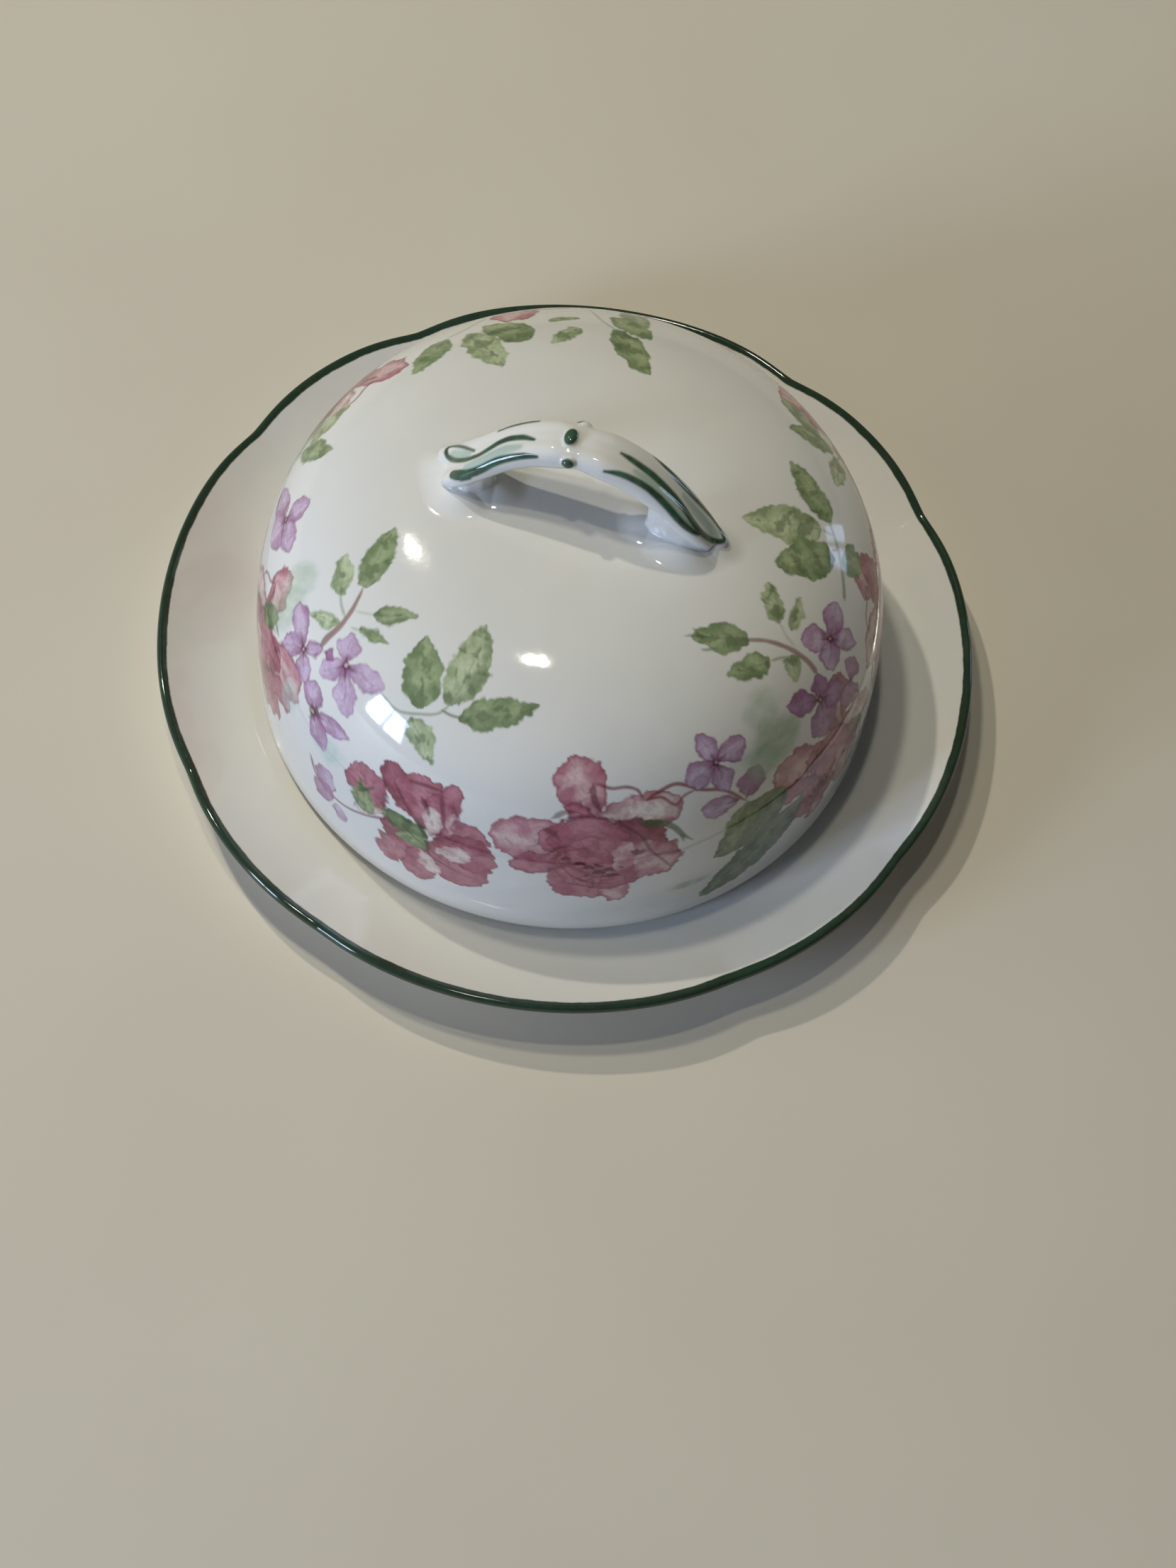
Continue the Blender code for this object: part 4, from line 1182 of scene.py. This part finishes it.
def porcelain(name, decorate, footed=True):
    """Cloudy, faintly specked porcelain under a clear uneven glaze, and bare clay at the foot.
    decorate(graph, body) returns the decorated colour."""
    made, graph, surface = new_material(name)
    cloud = graph.ramp(graph.noise(scale=38.0, detail=4.0, roughness=0.55), (0.35, 0.0), (0.7, 1.0))
    body = graph.blend(cloud, PORCELAIN, PORCELAIN * np.array([0.955, 0.965, 0.985]))
    specks = graph.node("ShaderNodeTexVoronoi", Scale=210.0, Randomness=1.0, Vector=graph.place)
    few = graph.math("GREATER_THAN", graph.noise(scale=300.0, detail=0.0), 0.66)
    round_specks = graph.ramp(specks.outputs["Distance"], (0.03, 1.0), (0.075, 0.0))
    speck = graph.math("MULTIPLY", round_specks, few)
    body = graph.blend(graph.math("MULTIPLY", speck, 0.05), body, tone(120, 98, 70))
    colour = decorate(graph, body)
    if footed:
        bare = graph.attribute("bare")["Fac"]
        grit = graph.noise(scale=2500.0, detail=2.0, roughness=0.6)
        clay = graph.blend(grit, tone(214, 206, 190), tone(186, 176, 158))
        colour = graph.blend(bare, colour, clay)
    graph.feed(surface["Base Color"], colour)

    gloss = graph.noise(scale=55.0, detail=5.0, roughness=0.6)
    rough = graph.ramp(gloss, (0.3, 0.04), (0.75, 0.09))
    fine = graph.noise(scale=900.0, detail=2.0)
    rough = graph.math("ADD", rough, graph.math("MULTIPLY", fine, 0.03))
    if footed:
        duller = graph.math("MULTIPLY", graph.attribute("bare")["Fac"], 0.5)
        rough = graph.math("ADD", rough, duller, clamp=True)
    graph.feed(surface["Roughness"], rough)

    wave = graph.noise(scale=42.0, detail=2.0, roughness=0.45)
    peel = graph.noise(scale=420.0, detail=2.0)
    wave = graph.math("MULTIPLY", wave, 1.0)
    height = graph.math("ADD", wave, graph.math("MULTIPLY", peel, 0.035))
    bump = graph.node("ShaderNodeBump", Strength=1.0, Distance=0.00042, Height=height)
    graph.feed(surface["Normal"], bump.outputs["Normal"])
    surface["IOR"].default_value = 1.52
    surface["Metallic"].default_value = 0.0
    return made


def rim_line(graph, body):
    """A green line round the rim, from 3.15 mm above its tip to 1.65 mm below, with wandering edges."""
    run = graph.attribute("from_rim")["Fac"]
    edge = graph.noise(scale=260.0, roughness=0.6)
    slow = graph.noise(scale=24.0, detail=1.0)
    wander = graph.math("ADD", graph.swing(edge, 0.55), graph.swing(slow, 0.7))
    inner = graph.math("SUBTRACT", graph.math("ADD", run, 3.15), wander)
    beyond = graph.math("MULTIPLY", run, -1.0)
    outer = graph.math("SUBTRACT", graph.math("ADD", beyond, 1.65), wander)
    inner, outer = (graph.math("DIVIDE", side, 0.30) for side in (inner, outer))
    line = graph.math("MINIMUM", graph.math("MINIMUM", inner, outer), 1.0)
    line = graph.math("MULTIPLY", graph.math("MAXIMUM", line, 0.0), 1.0)
    thin = graph.ramp(graph.noise(scale=700.0, roughness=0.6), (0.3, 0.0), (0.75, 1.0))
    green = graph.blend(thin, RIM_GREEN * 0.75, RIM_GREEN * 1.5)
    worn = graph.ramp(graph.noise(scale=60.0, roughness=0.6), (0.55, 0.0), (0.75, 0.5))
    brown = graph.blend(worn, green, tone(58, 66, 34))
    return graph.blend(graph.math("MULTIPLY", line, 0.97), body, brown)


def garland_print(graph, body):
    """The painted garland, its colour thicker and thinner in places."""
    decor = graph.attribute("decor")
    grain = graph.noise(scale=1500.0, roughness=0.6)
    pool = graph.noise(scale=330.0, roughness=0.55)
    thick = graph.math("ADD", graph.swing(grain, 0.35), graph.swing(pool, 0.45))
    level = graph.math("SUBTRACT", 1.0, thick)
    shade = graph.node("ShaderNodeVectorMath")
    shade.operation = "SCALE"
    graph.feed(shade.inputs[0], decor["Color"])
    graph.feed(shade.inputs["Scale"], level)
    return graph.blend(decor["Alpha"], body, shade.outputs[0])


def handle_lines(graph, body):
    """Dark green lines over strokes of thin green."""
    pool = graph.noise(scale=500.0, roughness=0.55)
    tint = graph.attribute("tint")["Fac"]
    tinted = graph.blend(graph.math("MULTIPLY", tint, 0.55), body, tone(128, 172, 156))
    pooled = graph.ramp(pool, (0.3, 0.0), (0.72, 1.0))
    green = graph.blend(pooled, tone(16, 46, 26), tone(48, 98, 64))
    line = graph.math("MULTIPLY", graph.attribute("line")["Fac"], 0.95)
    return graph.blend(line, tinted, green)


# --- Pieces ---
plate = build_plate()
plate.data.materials.append(porcelain("plate_glaze", rim_line))
cover = build_cover()
cover.data.materials.append(porcelain("cover_glaze", garland_print))
handle = build_handle()
handle.data.materials.append(porcelain("handle_glaze", handle_lines, footed=False))
for piece, body, node, slot in (
    (plate, "plate", "plate", "plate_porcelain"),
    (cover, "cover", "cover_dome", "cover_porcelain"),
    (handle, "cover", "handle", "handle_porcelain"),
):
    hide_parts(node)
    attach(piece, body)


# --- Table, lights, world and camera, in metres ---
def build_table():
    half_side, cells = 2.4, 48
    at = np.linspace(-half_side, half_side, cells + 1)
    x, y = np.meshgrid(at, at)
    points = np.stack([x.ravel(), y.ravel(), np.zeros(x.size)], -1)
    corners = [row * (cells + 1) + i for row in range(cells) for i in range(cells)]
    faces = [(k, k + 1, k + cells + 2, k + cells + 1) for k in corners]
    mesh = bpy.data.meshes.new("table")
    mesh.from_pydata(points.tolist(), [], faces)
    table = new_object("table", mesh)
    made, graph, surface = new_material("table_top")
    cloud = graph.ramp(graph.noise(scale=9.0), (0.3, 0.0), (0.7, 1.0))
    graph.feed(surface["Base Color"], graph.blend(cloud, tone(224, 217, 200), tone(219, 211, 194)))
    surface["Roughness"].default_value = 0.55
    surface["Specular IOR Level"].default_value = 0.3
    mesh.materials.append(made)


LIGHT_AIM = Vector((0, 0, 0.03))
WARM, ROOM, COOL = (1.0, 0.95, 0.80), (1.0, 0.94, 0.82), (0.56, 0.70, 1.0)
# name, azimuth, elevation, distance, width, height, watts, colour, seen in reflections
LIGHTS = [
    ("key", 140, 57, 1.6, 0.05, 0.05, 5.8, WARM, True),
    ("key_high", 150, 72, 1.6, 0.12, 0.12, 4.3, WARM, False),
    ("overhead", 165, 85, 1.5, 0.07, 0.07, 2.4, WARM, True),
    ("room", -175, 24, 1.6, 0.60, 0.60, 1.6, ROOM, False),
    ("window_left", -147.5, 14, 1.5, 0.17, 0.46, 7.0, COOL, True),
    ("window_left_2", -139.5, 14, 1.5, 0.17, 0.46, 6.0, COOL, True),
    ("window_right", 32, 8, 1.8, 0.14, 0.5, 0.9, COOL, True),
    ("window_right_2", 38, 8, 1.8, 0.12, 0.5, 0.7, COOL, True),
]


def build_light(name, azimuth, elevation, distance, width, height, watts, colour, glossy):
    light = bpy.data.lights.new(name, "AREA")
    light.shape = "ELLIPSE" if width == height else "RECTANGLE"
    light.size, light.size_y, light.energy, light.color = width, height, watts, colour
    obj = new_object(name, light)
    around, up = math.radians(azimuth), math.radians(elevation)
    level = math.cos(up)
    toward = Vector((level * math.cos(around), level * math.sin(around), math.sin(up)))
    obj.location = LIGHT_AIM + distance * toward
    obj.rotation_euler = toward.to_track_quat("Z", "Y").to_euler()
    obj.visible_camera = False
    obj.visible_glossy = glossy


def build_world():
    """A dim room, lighter towards -X, with a plain backdrop for the camera."""
    world = bpy.data.worlds.new("room")
    world.use_nodes = True
    bpy.context.scene.world = world
    graph = Graph(world.node_tree)
    graph.tree.nodes.clear()
    sky = graph.node("ShaderNodeBackground", Strength=1.0)
    facing = graph.node("ShaderNodeTexCoord").outputs["Generated"]
    split = graph.node("ShaderNodeSeparateXYZ", Vector=facing)
    leftward = graph.math("MULTIPLY", split.outputs[0], -0.5)
    leftward = graph.math("ADD", leftward, 0.5, clamp=True)
    shade = graph.blend(leftward, (0.018, 0.019, 0.020), (0.044, 0.052, 0.066))
    seen = graph.node("ShaderNodeLightPath").outputs["Is Camera Ray"]
    graph.feed(sky.inputs["Color"], graph.blend(seen, shade, (0.165, 0.156, 0.138)))
    out = graph.node("ShaderNodeOutputWorld")
    graph.feed(out.inputs[0], sky.outputs[0])


def build_camera():
    camera = bpy.data.cameras.new("camera")
    camera.sensor_width, camera.lens, camera.clip_start = 36.0, 68.01, 0.01
    obj = new_object("camera", camera)
    elevation, roll, distance = math.radians(62.33), math.radians(7.03), 0.62148
    target = Vector((0.008272, -0.035622, RIM_HEIGHT * MM - 0.0005))
    back = Vector((0, -math.cos(elevation), math.sin(elevation)))
    right = Vector((1, 0, 0))
    up = back.cross(right)
    across = math.cos(roll) * right + math.sin(roll) * up
    above = -math.sin(roll) * right + math.cos(roll) * up
    columns = (across, above, back, target + distance * back)
    obj.matrix_world = Matrix([*zip(*columns), (0, 0, 0, 1)])
    bpy.context.scene.camera = obj


build_table()
for row in LIGHTS:
    build_light(*row)
build_world()
build_camera()
bpy.context.scene.view_settings.view_transform = "Standard"
